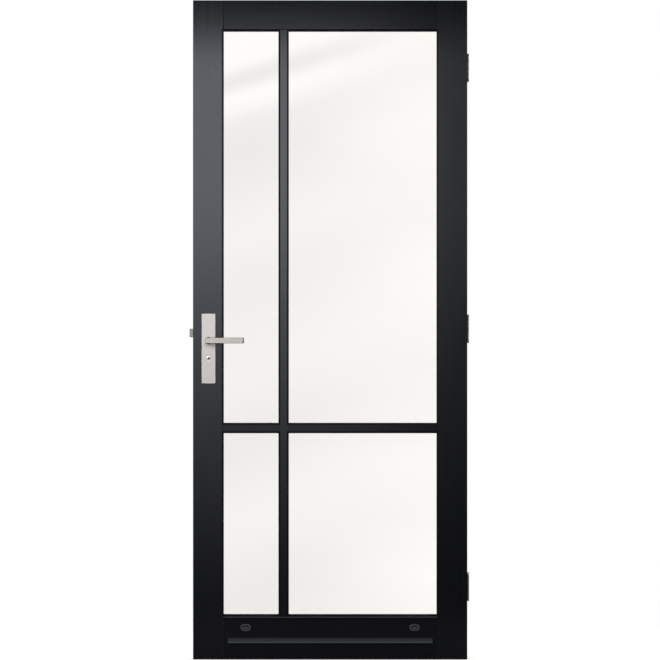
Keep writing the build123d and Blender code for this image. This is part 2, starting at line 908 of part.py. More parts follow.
with BuildPart() as latch_bolt:
    latch_low = latch_height - latch_tall / 2
    latch_high = latch_height + latch_tall / 2
    latch_front = -half_width - latch_throw
    half_latch = latch_thick / 2
    block((latch_front, latch_back), (-half_latch, half_latch), (latch_low, latch_high))
    with BuildSketch(Plane.XY.offset(latch_low)):
        with BuildLine():
            Polyline(
                (latch_front, -half_latch),
                (latch_front, half_latch - latch_tip),
                (-half_width, -half_latch),
                close=True,
            )
        make_face()
    extrude(amount=latch_tall, mode=Mode.SUBTRACT)
    block(
        (latch_back, hook_front + hook_width),
        (-tail_thick / 2, tail_thick / 2),
        (tail_low, tail_low + tail_tall),
    )
    block(
        (hook_front, hook_front + hook_width),
        (-tail_thick / 2, tail_thick / 2),
        (tail_low - hook_depth, tail_low),
    )
    with Locations(Plane((latch_back, 0, spring_height), z_dir=(1, 0, 0))):
        Cylinder(peg_radius, peg_length, align=(Align.CENTER, Align.CENTER, Align.MIN))

# Latch spring, pressed between the head of the latch and the back wall of the case
with BuildPart() as latch_spring:
    spring_span = case_back - case_wall - latch_back
    coil_height = spring_span - spring_wire
    with BuildLine():
        coil = Helix(
            pitch=coil_height / spring_turns,
            height=coil_height,
            radius=spring_radius,
            center=(latch_back + spring_wire / 2, 0, spring_height),
            direction=(1, 0, 0),
        )
    with BuildSketch(Plane(coil @ 0, z_dir=coil % 0)):
        Circle(spring_wire / 2)
    sweep()

# Deadbolt: a square head flush with the faceplate, and a slotted tail on the guide pillar
with BuildPart() as deadbolt:
    half_bolt = bolt_thick / 2
    bolt_back = -half_width + bolt_length
    tail_front = -half_width + bolt_tail_start
    tail_back = tail_front + bolt_tail_length
    bolt_tail_low = bolt_high - bolt_tail_lap
    slot_half = guide_diameter / 2 + guide_play
    block((-half_width, bolt_back), (-half_bolt, half_bolt), (bolt_low, bolt_high))
    chamfer(deadbolt.faces().sort_by(Axis.X)[0].edges(), length=bolt_window_play)
    block(
        (tail_front, tail_back),
        (-bolt_tail_thick / 2, bolt_tail_thick / 2),
        (bolt_tail_low, bolt_tail_low + bolt_tail_tall),
    )
    with BuildSketch(elevation(bolt_tail_thick / 2)):
        with Locations((guide_place[0] + bolt_throw / 2, guide_place[1])):
            SlotOverall(bolt_throw + 2 * slot_half, 2 * slot_half)
        with Locations((lock_x, bolt_tail_low + bolt_notch_depth / 2)):
            Rectangle(bolt_notch_width, bolt_notch_depth)
    extrude(amount=bolt_tail_thick, mode=Mode.SUBTRACT)

# Profile cylinder with its two plugs, cam and fixing screw
half_cylinder = cylinder_length / 2
cam_half = cam_length / 2
gap_half = cam_half + cam_end_play

with BuildPart() as cylinder_body:
    extrude(cylinder_outline(half_cylinder), amount=cylinder_length)
    with BuildSketch(elevation(half_cylinder)):
        with Locations((lock_x, cylinder_height)):
            Circle(plug_diameter / 2)
    extrude(amount=cylinder_length, mode=Mode.SUBTRACT)
    block(
        (lock_x - cylinder_radius, lock_x + cylinder_radius),
        (-gap_half, gap_half),
        (cylinder_height - cam_radius - cam_room, cylinder_height + cylinder_radius),
        mode=Mode.SUBTRACT,
    )
    with Locations(Plane((lock_x - cylinder_radius, 0, fixing_height), z_dir=(-1, 0, 0))):
        Hole(fixing_screw_diameter / 2 + thread_play, depth=2 * cylinder_radius)


def cylinder_plug():
    """The outside plug, with a keyway in its face and a tip that reaches into the cam."""
    plug_length = half_cylinder - gap_half
    with BuildPart() as plug:
        with BuildSketch(elevation(-gap_half)):
            with Locations((lock_x, cylinder_height)):
                Circle(plug_diameter / 2 - plug_play)
        extrude(amount=plug_length)
        with BuildSketch(elevation(-gap_half + plug_tip_length)):
            with Locations((lock_x, cylinder_height)):
                Circle(plug_tip_diameter / 2)
        extrude(amount=plug_tip_length)
        with BuildSketch(elevation(-half_cylinder + keyway_depth)):
            with Locations((lock_x, cylinder_height - plug_diameter / 2 + keyway_tall / 2)):
                Rectangle(keyway_width, keyway_tall)
        extrude(amount=keyway_depth, mode=Mode.SUBTRACT)
    return plug.part


with BuildPart() as cylinder_plug_outer:
    add(cylinder_plug())

with BuildPart() as cylinder_plug_inner:
    add(mirror(cylinder_plug_outer.part, about=Plane.XZ, mode=Mode.PRIVATE))

with BuildPart() as cylinder_cam:
    with BuildSketch(elevation(cam_half)):
        with Locations((lock_x, cylinder_height)):
            Circle(cam_hub_radius)
        with BuildSketch(mode=Mode.PRIVATE) as tongue:
            with Locations((lock_x, cylinder_height - cam_radius / 2)):
                Rectangle(cam_tongue_width, cam_radius)
            with Locations((lock_x, cylinder_height)):
                Circle(cam_radius, mode=Mode.INTERSECT)
        add(tongue.sketch)
        with Locations((lock_x, cylinder_height)):
            Circle(plug_tip_diameter / 2 + thread_play, mode=Mode.SUBTRACT)
    extrude(amount=cam_length)

with BuildPart() as cylinder_screw:
    with Locations(Plane((-half_width, 0, fixing_height), z_dir=(-1, 0, 0))):
        add(countersunk_screw(fixing_screw_diameter, screw_head_diameter, fixing_screw_length))


# Handle plates: hollow covers with bosses, screwed to each other through the stile
def plate_cover():
    """The outside cover plate, with bosses for the bush, the cylinder and the two posts."""
    inside_depth = plate_depth - plate_wall
    with BuildPart() as cover:
        with BuildSketch(elevation(face_outside)):
            with Locations((lock_x, plate_middle)):
                Rectangle(plate_width, plate_height)
        extrude(amount=plate_depth)
        chamfer(cover.faces().sort_by(Axis.Y)[0].edges(), length=plate_arris)
        with BuildSketch(elevation(face_outside)):
            with Locations((lock_x, plate_middle)):
                Rectangle(plate_width - 2 * plate_wall, plate_height - 2 * plate_wall)
        extrude(amount=inside_depth, mode=Mode.SUBTRACT)
        with BuildSketch(elevation(face_outside)):
            with Locations((lock_x, spindle_height)):
                Circle(bush_diameter / 2 + boss_wall)
            with Locations(*[(lock_x, z) for z in post_heights]):
                Circle(post_diameter / 2 + boss_wall)
        extrude(amount=inside_depth)
        extrude(cylinder_outline(face_outside, cylinder_fit + boss_wall), amount=inside_depth)
        with BuildSketch(elevation(face_outside)):
            with Locations((lock_x, spindle_height)):
                Circle(bush_diameter / 2)
        extrude(amount=plate_depth, mode=Mode.SUBTRACT)
        extrude(cylinder_outline(face_outside, cylinder_fit), amount=plate_depth, mode=Mode.SUBTRACT)
    return cover.part


def lever_bush():
    """The bush in the outside plate that the lever's collar turns in."""
    with BuildPart() as bush:
        with BuildSketch(elevation(bush_length - plate_face)):
            with Locations((lock_x, spindle_height)):
                Circle(bush_diameter / 2)
                Circle(lever_collar_diameter / 2 + lever_play, mode=Mode.SUBTRACT)
        extrude(amount=bush_length)
    return bush.part


with BuildPart() as plate_outer:
    add(plate_cover())
    with BuildSketch(elevation(face_outside + post_reach)):
        with Locations(*[(lock_x, z) for z in post_heights]):
            Circle(post_diameter / 2)
    extrude(amount=post_reach)
    with BuildSketch(elevation(face_outside + post_reach)):
        with Locations(*[(lock_x, z) for z in post_heights]):
            Circle(plate_screw_diameter / 2 + thread_play)
    extrude(amount=plate_screw_reach + thread_play, mode=Mode.SUBTRACT)

with BuildPart() as plate_inner:
    add(mirror(plate_outer.part, about=Plane.XZ, mode=Mode.PRIVATE))
    block(
        (lock_x - plate_width / 2, lock_x + plate_width / 2),
        (face_inside - post_reach, face_inside),
        (plate_low, plate_low + plate_height),
        mode=Mode.SUBTRACT,
    )
    with Locations(*[Plane((lock_x, plate_face, z), z_dir=(0, 1, 0)) for z in post_heights]):
        CounterSinkHole(
            plate_screw_diameter / 2 + screw_pilot_play,
            screw_head_diameter / 2 + screw_pilot_play,
            depth=plate_depth,
        )

with BuildPart() as plate_screws:
    screw_length = plate_face - (face_outside + post_reach - plate_screw_reach)
    with Locations(*[Plane((lock_x, plate_face, z), z_dir=(0, 1, 0)) for z in post_heights]):
        add(countersunk_screw(plate_screw_diameter, screw_head_diameter, screw_length))

with BuildPart() as bush_outer:
    add(lever_bush())

with BuildPart() as bush_inner:
    add(mirror(bush_outer.part, about=Plane.XZ, mode=Mode.PRIVATE))

# Levers: a flat grip on a square neck, with a collar in the bush and a square socket
grip_face = half_thickness + lever_projection
grip_back = grip_face - lever_thickness
neck_end = plate_face + lever_plate_gap
collar_end = plate_face - lever_collar_depth
socket_end = grip_face - lever_socket_wall
half_lever = lever_height / 2
grub_depth = grip_back - grub_from_grip
socket_half = square_size / 2 + square_play

with BuildPart() as lever_outer:
    block(
        (lock_x - half_lever, lock_x + lever_reach),
        (-grip_face, -grip_back),
        (spindle_height - half_lever, spindle_height + half_lever),
    )
    block(
        (lock_x - half_lever, lock_x + half_lever),
        (-grip_back, -neck_end),
        (spindle_height - half_lever, spindle_height + half_lever),
    )
    inner_corner = lever_outer.edges().filter_by(Axis.Z).filter_by_position(
        Axis.X, lock_x + half_lever - lever_play, lock_x + half_lever + lever_play
    )
    fillet(inner_corner.sort_by(Axis.Y)[0], radius=lever_neck_round)
    front_edges = lever_outer.faces().sort_by(Axis.Y)[0].edges()
    tip_edges = lever_outer.faces().sort_by(Axis.X)[-1].edges()
    fillet(front_edges + tip_edges, radius=lever_round)
    with BuildSketch(elevation(-collar_end)):
        with Locations((lock_x, spindle_height)):
            Circle(lever_collar_diameter / 2)
    extrude(amount=neck_end - collar_end)
    block(
        (lock_x - socket_half, lock_x + socket_half),
        (-socket_end, -collar_end),
        (spindle_height - socket_half, spindle_height + socket_half),
        mode=Mode.SUBTRACT,
    )
    with Locations(Plane((lock_x, -grub_depth, spindle_height - half_lever), z_dir=(0, 0, -1))):
        Hole(grub_diameter / 2 + thread_play, depth=half_lever)

with BuildPart() as lever_inner:
    add(mirror(lever_outer.part, about=Plane.XZ, mode=Mode.PRIVATE))

with BuildPart() as spindle:
    spindle_half = socket_end - spindle_end_room
    half_square = square_size / 2
    block(
        (lock_x - half_square, lock_x + half_square),
        (-spindle_half, spindle_half),
        (spindle_height - half_square, spindle_height + half_square),
    )

with BuildPart() as grub_screws:
    grub_length = half_lever - half_square
    with Locations(
        *[Plane((lock_x, y, spindle_height - half_lever)) for y in (-grub_depth, grub_depth)]
    ):
        Cylinder(grub_diameter / 2, grub_length, align=(Align.CENTER, Align.CENTER, Align.MIN))

# Hinges: five knuckles each, three on the frame leaf and two on the door leaf
spans = []
span_top = hinge_height / 2
for room_below in (knuckle_gap, bearing_tall, knuckle_gap, bearing_tall, 0):
    spans.append((span_top - knuckle_tall, span_top))
    span_top -= knuckle_tall + room_below
frame_spans, door_spans = spans[0::2], spans[1::2]
bearing_rises = [high for low, high in frame_spans[1:]]


def hinge_leaf(height, flap_x, outward, own_spans, hole_radius):
    """One leaf of a hinge: its flat part from flap_x, its knuckles and its screw holes."""
    with BuildPart() as leaf:
        extrude(flap_outline(flap_x, height), amount=flap_thickness)
        for low, high in own_spans:
            with Locations((pin_x, pin_y, height + (low + high) / 2)):
                Cylinder(knuckle_diameter / 2, high - low)
            block(
                (flap_x, flap_x + flap_thickness),
                (flap_end, pin_y),
                (height + low, height + high),
            )
        with Locations((pin_x, pin_y, height)):
            Cylinder(pin_diameter / 2 + pin_play, hinge_height, mode=Mode.SUBTRACT)
        screw_face = flap_x if outward < 0 else flap_x + flap_thickness
        with Locations(
            *[
                Plane((screw_face, y, height + rise), z_dir=(outward, 0, 0))
                for y, rise in hinge_screw_places
            ]
        ):
            CounterSinkHole(
                hole_radius,
                screw_head_diameter / 2 + screw_pilot_play,
                depth=flap_thickness,
            )
    return leaf.part


door_flap_x = half_width - flap_thickness
frame_flap_x = half_width + flap_gap
door_hole_radius = screw_diameter / 2 + screw_pilot_play
hinge_door_leaves = {}
hinge_frame_leaves = {}
for name, height in zip(hinge_names, hinge_heights):
    with BuildPart() as door_leaf:
        add(hinge_leaf(height, door_flap_x, 1, door_spans, door_hole_radius))
    with BuildPart() as frame_leaf:
        add(hinge_leaf(height, frame_flap_x, -1, frame_spans, frame_hole_diameter / 2))
    hinge_door_leaves[f"hinge_door_leaf_{name}"] = door_leaf
    hinge_frame_leaves[f"hinge_frame_leaf_{name}"] = frame_leaf

with BuildPart() as hinge_pins:
    with Locations(*[(pin_x, pin_y, height) for height in hinge_heights]):
        Cylinder(pin_diameter / 2, hinge_height)
    with Locations(*[(pin_x, pin_y, height + hinge_height / 2) for height in hinge_heights]):
        Cylinder(
            knuckle_diameter / 2,
            pin_head_tall,
            align=(Align.CENTER, Align.CENTER, Align.MIN),
        )

with BuildPart() as hinge_bearings:
    for height in hinge_heights:
        for rise in bearing_rises:
            with BuildSketch(Plane.XY.offset(height + rise)):
                with Locations((pin_x, pin_y)):
                    Circle(knuckle_diameter / 2)
                    Circle(pin_diameter / 2 + pin_play, mode=Mode.SUBTRACT)
            extrude(amount=bearing_tall - bearing_play)

with BuildPart() as hinge_screws:
    with Locations(
        *[
            Plane((half_width, y, height + rise), z_dir=(1, 0, 0))
            for height in hinge_heights
            for y, rise in hinge_screw_places
        ]
    ):
        add(countersunk_screw(screw_diameter, screw_head_diameter, hinge_screw_length))

# Write every piece to its own file
pieces = {
    "lock_stile": lock_stile,
    "hinge_stile": hinge_stile,
    "top_rail": top_rail,
    "bottom_rail": bottom_rail,
    "rail_dowels": rail_dowels,
    "pane_outer": pane_outer,
    "pane_inner": pane_inner,
    "glass_spacer": glass_spacer,
    "edge_sealant": edge_sealant,
    "spacer_bars": spacer_bars,
    "glazing_tape_outer": glazing_tape_outer,
    "glazing_tape_inner": glazing_tape_inner,
    "setting_blocks": setting_blocks,
    "bead_bottom": bead_bottom,
    "bead_hinge_side": bead_hinge_side,
    "bead_top": bead_top,
    "bead_lock_side": bead_lock_side,
    "sill_bead": sill_bead,
    "bar_upright_outer": bar_upright_outer,
    "bar_cross_left_outer": bar_cross_left_outer,
    "bar_cross_right_outer": bar_cross_right_outer,
    "bar_upright_inner": bar_upright_inner,
    "bar_cross_left_inner": bar_cross_left_inner,
    "bar_cross_right_inner": bar_cross_right_inner,
    "bar_tapes": bar_tapes,
    "vent_cap_left": vent_cap_left,
    "vent_cap_right": vent_cap_right,
    "drip_bar": drip_bar,
    "lock_case": lock_case,
    "lock_cover": lock_cover,
    "lock_faceplate": lock_faceplate,
    "lock_screws": lock_screws,
    "follower": follower,
    "latch_bolt": latch_bolt,
    "latch_spring": latch_spring,
    "deadbolt": deadbolt,
    "cylinder_body": cylinder_body,
    "cylinder_plug_outer": cylinder_plug_outer,
    "cylinder_plug_inner": cylinder_plug_inner,
    "cylinder_cam": cylinder_cam,
    "cylinder_screw": cylinder_screw,
    "plate_outer": plate_outer,
    "plate_inner": plate_inner,
    "plate_screws": plate_screws,
    "bush_outer": bush_outer,
    "bush_inner": bush_inner,
    "lever_outer": lever_outer,
    "lever_inner": lever_inner,
    "spindle": spindle,
    "grub_screws": grub_screws,
    **hinge_door_leaves,
    **hinge_frame_leaves,
    "hinge_pins": hinge_pins,
    "hinge_bearings": hinge_bearings,
    "hinge_screws": hinge_screws,
}

os.makedirs("parts", exist_ok=True)
for name, piece in pieces.items():
    piece.part.label = name
    export_step(piece.part, f"parts/{name}.step")
print(len(pieces), "pieces written")
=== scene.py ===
# %% [markdown]
# # A black glazed timber door
#
# This notebook dresses the CAD model of a back door: a timber leaf sprayed satin black, one sealed glass
# unit behind applied bars, a long plate handle in satin stainless steel, two ventilation caps, a drip bar
# and three butt hinges. The CAD already holds every size, so the work here is finish: a material for
# each piece, a few small forms that the plain solids only hint at, and a studio that shows them.
#
# The first step loads the CAD pieces. They come in at their real size in metres, with X to the right as
# seen from outside, Y into the room and Z up. They are never moved, so everything new is placed by them.

# %% Load the CAD frame
import math

import bmesh
import bpy
from mathutils import Matrix, Vector


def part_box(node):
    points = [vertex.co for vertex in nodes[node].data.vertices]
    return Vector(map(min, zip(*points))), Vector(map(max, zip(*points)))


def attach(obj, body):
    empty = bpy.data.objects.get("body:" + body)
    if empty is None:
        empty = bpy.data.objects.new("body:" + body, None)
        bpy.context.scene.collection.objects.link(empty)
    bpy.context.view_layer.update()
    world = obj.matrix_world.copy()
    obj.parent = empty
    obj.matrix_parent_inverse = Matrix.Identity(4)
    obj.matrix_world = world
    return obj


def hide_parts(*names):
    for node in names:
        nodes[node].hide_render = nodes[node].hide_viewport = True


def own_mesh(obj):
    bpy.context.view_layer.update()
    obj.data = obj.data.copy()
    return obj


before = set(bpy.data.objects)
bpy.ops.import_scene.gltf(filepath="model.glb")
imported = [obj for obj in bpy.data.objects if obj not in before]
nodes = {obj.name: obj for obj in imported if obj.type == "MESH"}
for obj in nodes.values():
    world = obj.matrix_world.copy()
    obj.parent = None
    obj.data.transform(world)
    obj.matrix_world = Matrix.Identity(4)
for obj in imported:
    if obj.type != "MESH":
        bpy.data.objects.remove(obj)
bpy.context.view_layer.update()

# %% [markdown]
# ## The camera
#
# A door is photographed square on and from far away, so that its edges stay parallel. We do the same
# with a long lens: the camera stands fourteen metres off, level with the middle of the leaf, and the
# focal length follows from how much of the scene one frame has to hold. The picture is square, and the
# leaf fills its height with less than a pixel to spare.

# %% Place the camera
MM = 0.001
leaf_low, leaf_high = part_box("lock_stile")
face_outside = leaf_low.y
leaf_height = leaf_high.z - leaf_low.z

picture_pixels = 660
leaf_pixels = 659.3
frame_height = leaf_height * picture_pixels / leaf_pixels
camera_distance = 14.0
sensor_width = 36.0
# the leaf stands this little to the right of the picture's middle, and as little above it
leaf_offset = 0.5 * MM

camera_data = bpy.data.cameras.new("long_lens")
camera_data.sensor_width = sensor_width
camera_data.lens = sensor_width * camera_distance / frame_height
camera_data.clip_end = 200
camera = bpy.data.objects.new("camera", camera_data)
camera.location = (-leaf_offset, face_outside - camera_distance, leaf_height / 2 - leaf_offset)
camera.rotation_euler = (math.radians(90), 0, 0)
bpy.context.scene.collection.objects.link(camera)
bpy.context.scene.camera = camera
print("focal length", round(camera_data.lens), "mm")

# %% [markdown]
# ## Small tools for materials
#
# Every material below is a short chain of nodes: a texture read on the piece's own Object coordinates, a
# step that turns it into a height, a colour or a roughness, and the Principled shader at the end. One
# function adds a node, sets its options and plugs in what feeds it. Another turns a colour as a painter
# would write it, in sRGB hex, into the linear numbers that the renderer works in.

# %% Helpers for materials
def linear(hex_colour):
    """The linear colour for an sRGB hex value such as 1A2B3C."""
    channels = [int(hex_colour[i : i + 2], 16) / 255 for i in (0, 2, 4)]
    return tuple(c / 12.92 if c <= 0.04045 else ((c + 0.055) / 1.055) ** 2.4 for c in channels) + (1,)


def add_node(tree, kind, feeds=None, **options):
    """Adds one node: options are its own settings, feeds are values or other nodes' outputs."""
    node = tree.nodes.new(kind)
    for name, value in options.items():
        setattr(node, name, value)
    for name, value in (feeds or {}).items():
        if isinstance(value, bpy.types.NodeSocket):
            tree.links.new(value, node.inputs[name])
        else:
            node.inputs[name].default_value = value
    return node


def new_finish(name, **shader_values):
    """A new material with one Principled shader, whose even values sit on its own sockets."""
    finish = bpy.data.materials.new(name)
    finish.use_nodes = True
    tree = finish.node_tree
    shader = tree.nodes["Principled BSDF"]
    for label, value in shader_values.items():
        shader.inputs[label.replace("_", " ")].default_value = value
    return finish, tree, shader


def wear(finish, *names):
    """Gives this finish to the CAD pieces named."""
    for name in names:
        mesh = nodes[name].data
        mesh.materials.clear()
        mesh.materials.append(finish)
    print(finish.name, "on", len(names), "pieces")


# %% [markdown]
# ## Shades and masks
#
# No real surface has one colour all over, so most finishes mix two near shades by a texture. Some also
# change in one place only: a dark joint, a chalky nose, a polished rim. Such a place could be painted on
# an image, but here a distance says it better. A mask is a number for each point of the surface, 1 on
# the place and 0 elsewhere, worked out from X or Z. A new colour is then laid over through that mask.

# %% Helpers for shades and masks
def near_line(tree, value, line, full, gone):
    """1 where the value is closer to the line than full, fading to 0 at gone."""
    off = add_node(tree, "ShaderNodeMath", {0: value, 1: line}, operation="SUBTRACT")
    apart = add_node(tree, "ShaderNodeMath", {0: off.outputs[0]}, operation="ABSOLUTE")
    return add_node(
        tree,
        "ShaderNodeMapRange",
        {"Value": apart.outputs[0], "From Min": full, "From Max": gone, "To Min": 1.0, "To Max": 0.0},
    ).outputs[0]


def two_shades(finish, texture, colours):
    """Lets a texture from 0 to 1 mix a finish's colour from two near shades."""
    tree = finish.node_tree
    shade = add_node(
        tree,
        "ShaderNodeMix",
        {"Factor": texture, "A": linear(colours[0]), "B": linear(colours[1])},
        data_type="RGBA",
    )
    tree.links.new(shade.outputs["Result"], tree.nodes["Principled BSDF"].inputs["Base Color"])


def lay_over(finish, mask, colour):
    """Lays a second colour over the finish's own one where the mask is 1."""
    tree = finish.node_tree
    base = tree.nodes["Principled BSDF"].inputs["Base Color"]
    both = add_node(
        tree,
        "ShaderNodeMix",
        {"Factor": mask, "A": base.links[0].from_socket, "B": linear(colour)},
        data_type="RGBA",
    )
    tree.links.new(both.outputs["Result"], base)


# %% [markdown]
# ## The joints of the leaf
#
# Where a rail meets a stile, the maker leaves a fine V, so that the paint doesn't crack there. The V is
# in the CAD, but it is so narrow that the whole door hardly shows it. So the paint gets a line there as
# well, a little wider than the V. It lies where X is close to the joint, and only beside a rail, which
# is above and below the glazed opening.

# %% Fine lines in the joints
joint_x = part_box("top_rail")[1].x
opening_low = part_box("bottom_rail")[1].z
opening_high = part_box("top_rail")[0].z
joint_full = 1.1 * MM
joint_gone = 1.8 * MM
print("joints at", round(joint_x, 4), "opening from", round(opening_low, 4), "to", round(opening_high, 4))


def joint_line(tree, place):
    """1 in the narrow groove where a rail meets a stile, 0 elsewhere."""
    axes = add_node(tree, "ShaderNodeSeparateXYZ", {0: place})
    out = add_node(tree, "ShaderNodeMath", {0: axes.outputs["X"]}, operation="ABSOLUTE")
    line = near_line(tree, out.outputs[0], joint_x, joint_full, joint_gone)
    middle = (opening_low + opening_high) / 2
    rise = add_node(tree, "ShaderNodeMath", {0: axes.outputs["Z"], 1: middle}, operation="SUBTRACT")
    reach = add_node(tree, "ShaderNodeMath", {0: rise.outputs[0]}, operation="ABSOLUTE")
    beside = add_node(
        tree, "ShaderNodeMath", {0: reach.outputs[0], 1: opening_high - middle}, operation="GREATER_THAN"
    )
    return add_node(tree, "ShaderNodeMath", {0: line, 1: beside.outputs[0]}, operation="MULTIPLY").outputs[0]


# %% [markdown]
# ## The surface of sprayed paint
#
# The leaf is hardwood, sprayed with two coats of waterborne satin paint. Up close such a film has two
# textures: a very shallow orange peel where the droplets ran together, about two millimetres across,
# and the long open pores of the wood, which the paint only half fills. Both are height, not colour, so
# they go into a bump. Displaced geometry would show no more, because both are far thinner than a hair.

# %% Height of the film
# real pores are about 0.3 mm wide, and are drawn wider so that they show
pore_width = 1.6 * MM
peel_width = 2.4 * MM


def film_relief(tree, place, along):
    """The surface direction of a film with orange peel over half filled pores."""
    pores = add_node(
        tree,
        "ShaderNodeTexNoise",
        {"Vector": along, "Scale": 1 / pore_width, "Detail": 3.0, "Roughness": 0.6},
    )
    peel = add_node(tree, "ShaderNodeTexNoise", {"Vector": place, "Scale": 1 / peel_width, "Detail": 1.0})
    grain = add_node(
        tree, "ShaderNodeBump", {"Height": pores.outputs[0], "Strength": 0.06, "Distance": 0.25 * MM}
    )
    return add_node(
        tree,
        "ShaderNodeBump",
        {"Height": peel.outputs[0], "Normal": grain.outputs[0], "Strength": 0.05, "Distance": 0.2 * MM},
    ).outputs[0]


# %% [markdown]
# ## Satin black paint
#
# Black paint shows almost nothing of its own colour. What the eye gets is the sheen of its surface, broad
# and soft, so the numbers that matter are the specular level and a low roughness. A clear coat layer over
# a dark base could give the same, but one layer is simpler and does it here.
#
# The grain runs along each piece, upright in the stiles and level in the rails, so the paint is made
# twice from one function, with the pores stretched along Z or along X. The film on the level pieces is
# a little leaner, which gives slightly less gloss.

# %% Satin black paint
band_width = 9 * MM
joint_dullness = 0.6


def satin_paint(name, stretch, shine=0.65, rough=(0.12, 0.19)):
    """Black paint over wood whose pores run along the axis that stretch shrinks."""
    finish, tree, shader = new_finish(
        name, IOR=1.5, Specular_IOR_Level=shine, Specular_Tint=linear("E9ECFA")
    )
    place = add_node(tree, "ShaderNodeTexCoord").outputs["Object"]
    along = add_node(tree, "ShaderNodeMapping", {"Vector": place, "Scale": stretch}).outputs[0]
    tree.links.new(film_relief(tree, place, along), shader.inputs["Normal"])
    # long faint bands, where the wood below took up a little more or a little less of the paint
    bands = add_node(tree, "ShaderNodeTexNoise", {"Vector": along, "Scale": 1 / band_width, "Detail": 2.0})
    two_shades(finish, bands.outputs[0], ("08090B", "101114"))
    rub = add_node(
        tree, "ShaderNodeMapRange", {"Value": bands.outputs[0], "To Min": rough[0], "To Max": rough[1]}
    )
    # in the joints the film is thin and dull, so they read as fine dark lines
    joint = joint_line(tree, place)
    lay_over(finish, joint, "020203")
    dull = add_node(
        tree, "ShaderNodeMath", {0: joint, 1: joint_dullness, 2: rub.outputs[0]}, operation="MULTIPLY_ADD"
    )
    tree.links.new(dull.outputs[0], shader.inputs["Roughness"])
    return finish


upright_paint = satin_paint("satin_black_paint_upright_grain", (1, 1, 0.03))
upright_pieces = ["lock_stile", "hinge_stile", "bar_upright_outer", "bar_upright_inner"]
wear(upright_paint, *upright_pieces, "bead_hinge_side", "bead_lock_side")
level_paint = satin_paint("satin_black_paint_level_grain", (0.03, 1, 1), shine=0.5)
cross_bars = [f"bar_cross_{side}_{face}" for side in ("left", "right") for face in ("outer", "inner")]
wear(level_paint, "top_rail", "bottom_rail", "bead_top", "bead_bottom", *cross_bars)

# %% [markdown]
# ## The weathered sill bead
#
# The sill bead below the glass is the one level face that rain stands on, so its paint has lost its
# gloss and gone rough. Along the front of its rounded nose a thin grey line is painted in, a painted
# highlight where the nose catches the light, and that line is all that one sees of the bead from in
# front. It is the same paint with a lower shine, and the painted highlight is a second colour laid over it.

# %% Rain dulled paint
nose_rise = 8.2 * MM
nose_highlight_full = 1.8 * MM
nose_highlight_gone = 2.6 * MM

sill_paint = satin_paint("rain_dulled_black_paint", (0.03, 1, 1), shine=0.06, rough=(0.5, 0.6))
tree = sill_paint.node_tree
place = add_node(tree, "ShaderNodeTexCoord").outputs["Object"]
axes = add_node(tree, "ShaderNodeSeparateXYZ", {0: place})
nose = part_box("sill_bead")[0].z + nose_rise
# the grey line along the nose is a painted highlight
lay_over(sill_paint, near_line(tree, axes.outputs["Z"], nose, nose_highlight_full, nose_highlight_gone), "303135")
wear(sill_paint, "sill_bead")

# %% [markdown]
# ## Clear float glass
#
# Window glass is the simplest material here: smooth, colourless and full of light. Each pane is a real
# four millimetre solid, so the renderer works out the faint double reflections of a sealed unit by
# itself. One thin sheet with a half clear shader would render faster, but would lose them. The only thing
# added is the slight waviness that float glass keeps from the rollers: a bump about as long as a hand,
# far too shallow to see except where it bends a reflection.

# %% Clear float glass
wave_length = 180 * MM

clear_glass, tree, shader = new_finish(
    "clear_float_glass", Roughness=0.0, IOR=1.5, Transmission_Weight=1.0, Base_Color=linear("FFFEFC")
)
place = add_node(tree, "ShaderNodeTexCoord").outputs["Object"]
waves = add_node(tree, "ShaderNodeTexNoise", {"Vector": place, "Scale": 1 / wave_length, "Detail": 0.0})
roller = add_node(
    tree, "ShaderNodeBump", {"Height": waves.outputs[0], "Strength": 0.05, "Distance": 0.5 * MM}
)
tree.links.new(roller.outputs[0], shader.inputs["Normal"])
wear(clear_glass, "pane_outer", "pane_inner")

# %% [markdown]
# ## One texture for shade, gloss and height
#
# On a brushed, plated or moulded surface one cause makes three effects. The ridge between two scratches
# is a little higher than the metal round it, a little rougher and a little paler. So one texture serves
# for all three, which looks truer than three textures that know nothing of each other. The shade has its
# helper above, and this one passes the same texture on to the gloss and the height.

# %% Helper for gloss and height
def rub_and_relief(finish, texture, rough, bump, depth, contrast=(0.0, 1.0)):
    """Lets one texture vary a finish's roughness and height. Contrast is the texture's useful range."""
    tree = finish.node_tree
    shader = tree.nodes["Principled BSDF"]
    limits = {"From Min": contrast[0], "From Max": contrast[1], "To Min": rough[0], "To Max": rough[1]}
    rub = add_node(tree, "ShaderNodeMapRange", {"Value": texture, **limits})
    tree.links.new(rub.outputs[0], shader.inputs["Roughness"])
    relief = add_node(tree, "ShaderNodeBump", {"Height": texture, "Strength": bump, "Distance": depth})
    tree.links.new(relief.outputs[0], shader.inputs["Normal"])


# %% [markdown]
# ## Satin stainless steel
#
# The handle, the hinges and the lock's faceplate are stainless steel, rubbed with a fine belt. The belt
# leaves short parallel scratches that run along the piece. They spread a highlight sideways and give the
# metal its soft, even grey. An anisotropic shader could spread it too, but has no scratches to show near
# by. So the scratches are drawn, as a noise stretched forty times along the brushing.

# %% Satin stainless steel
# the belt's scratches lie a tenth of a millimetre apart, and are drawn wider so that they show
scratch_width = 0.45 * MM
stretched_up = (1, 1, 0.025)
stretched_across = (0.025, 1, 1)


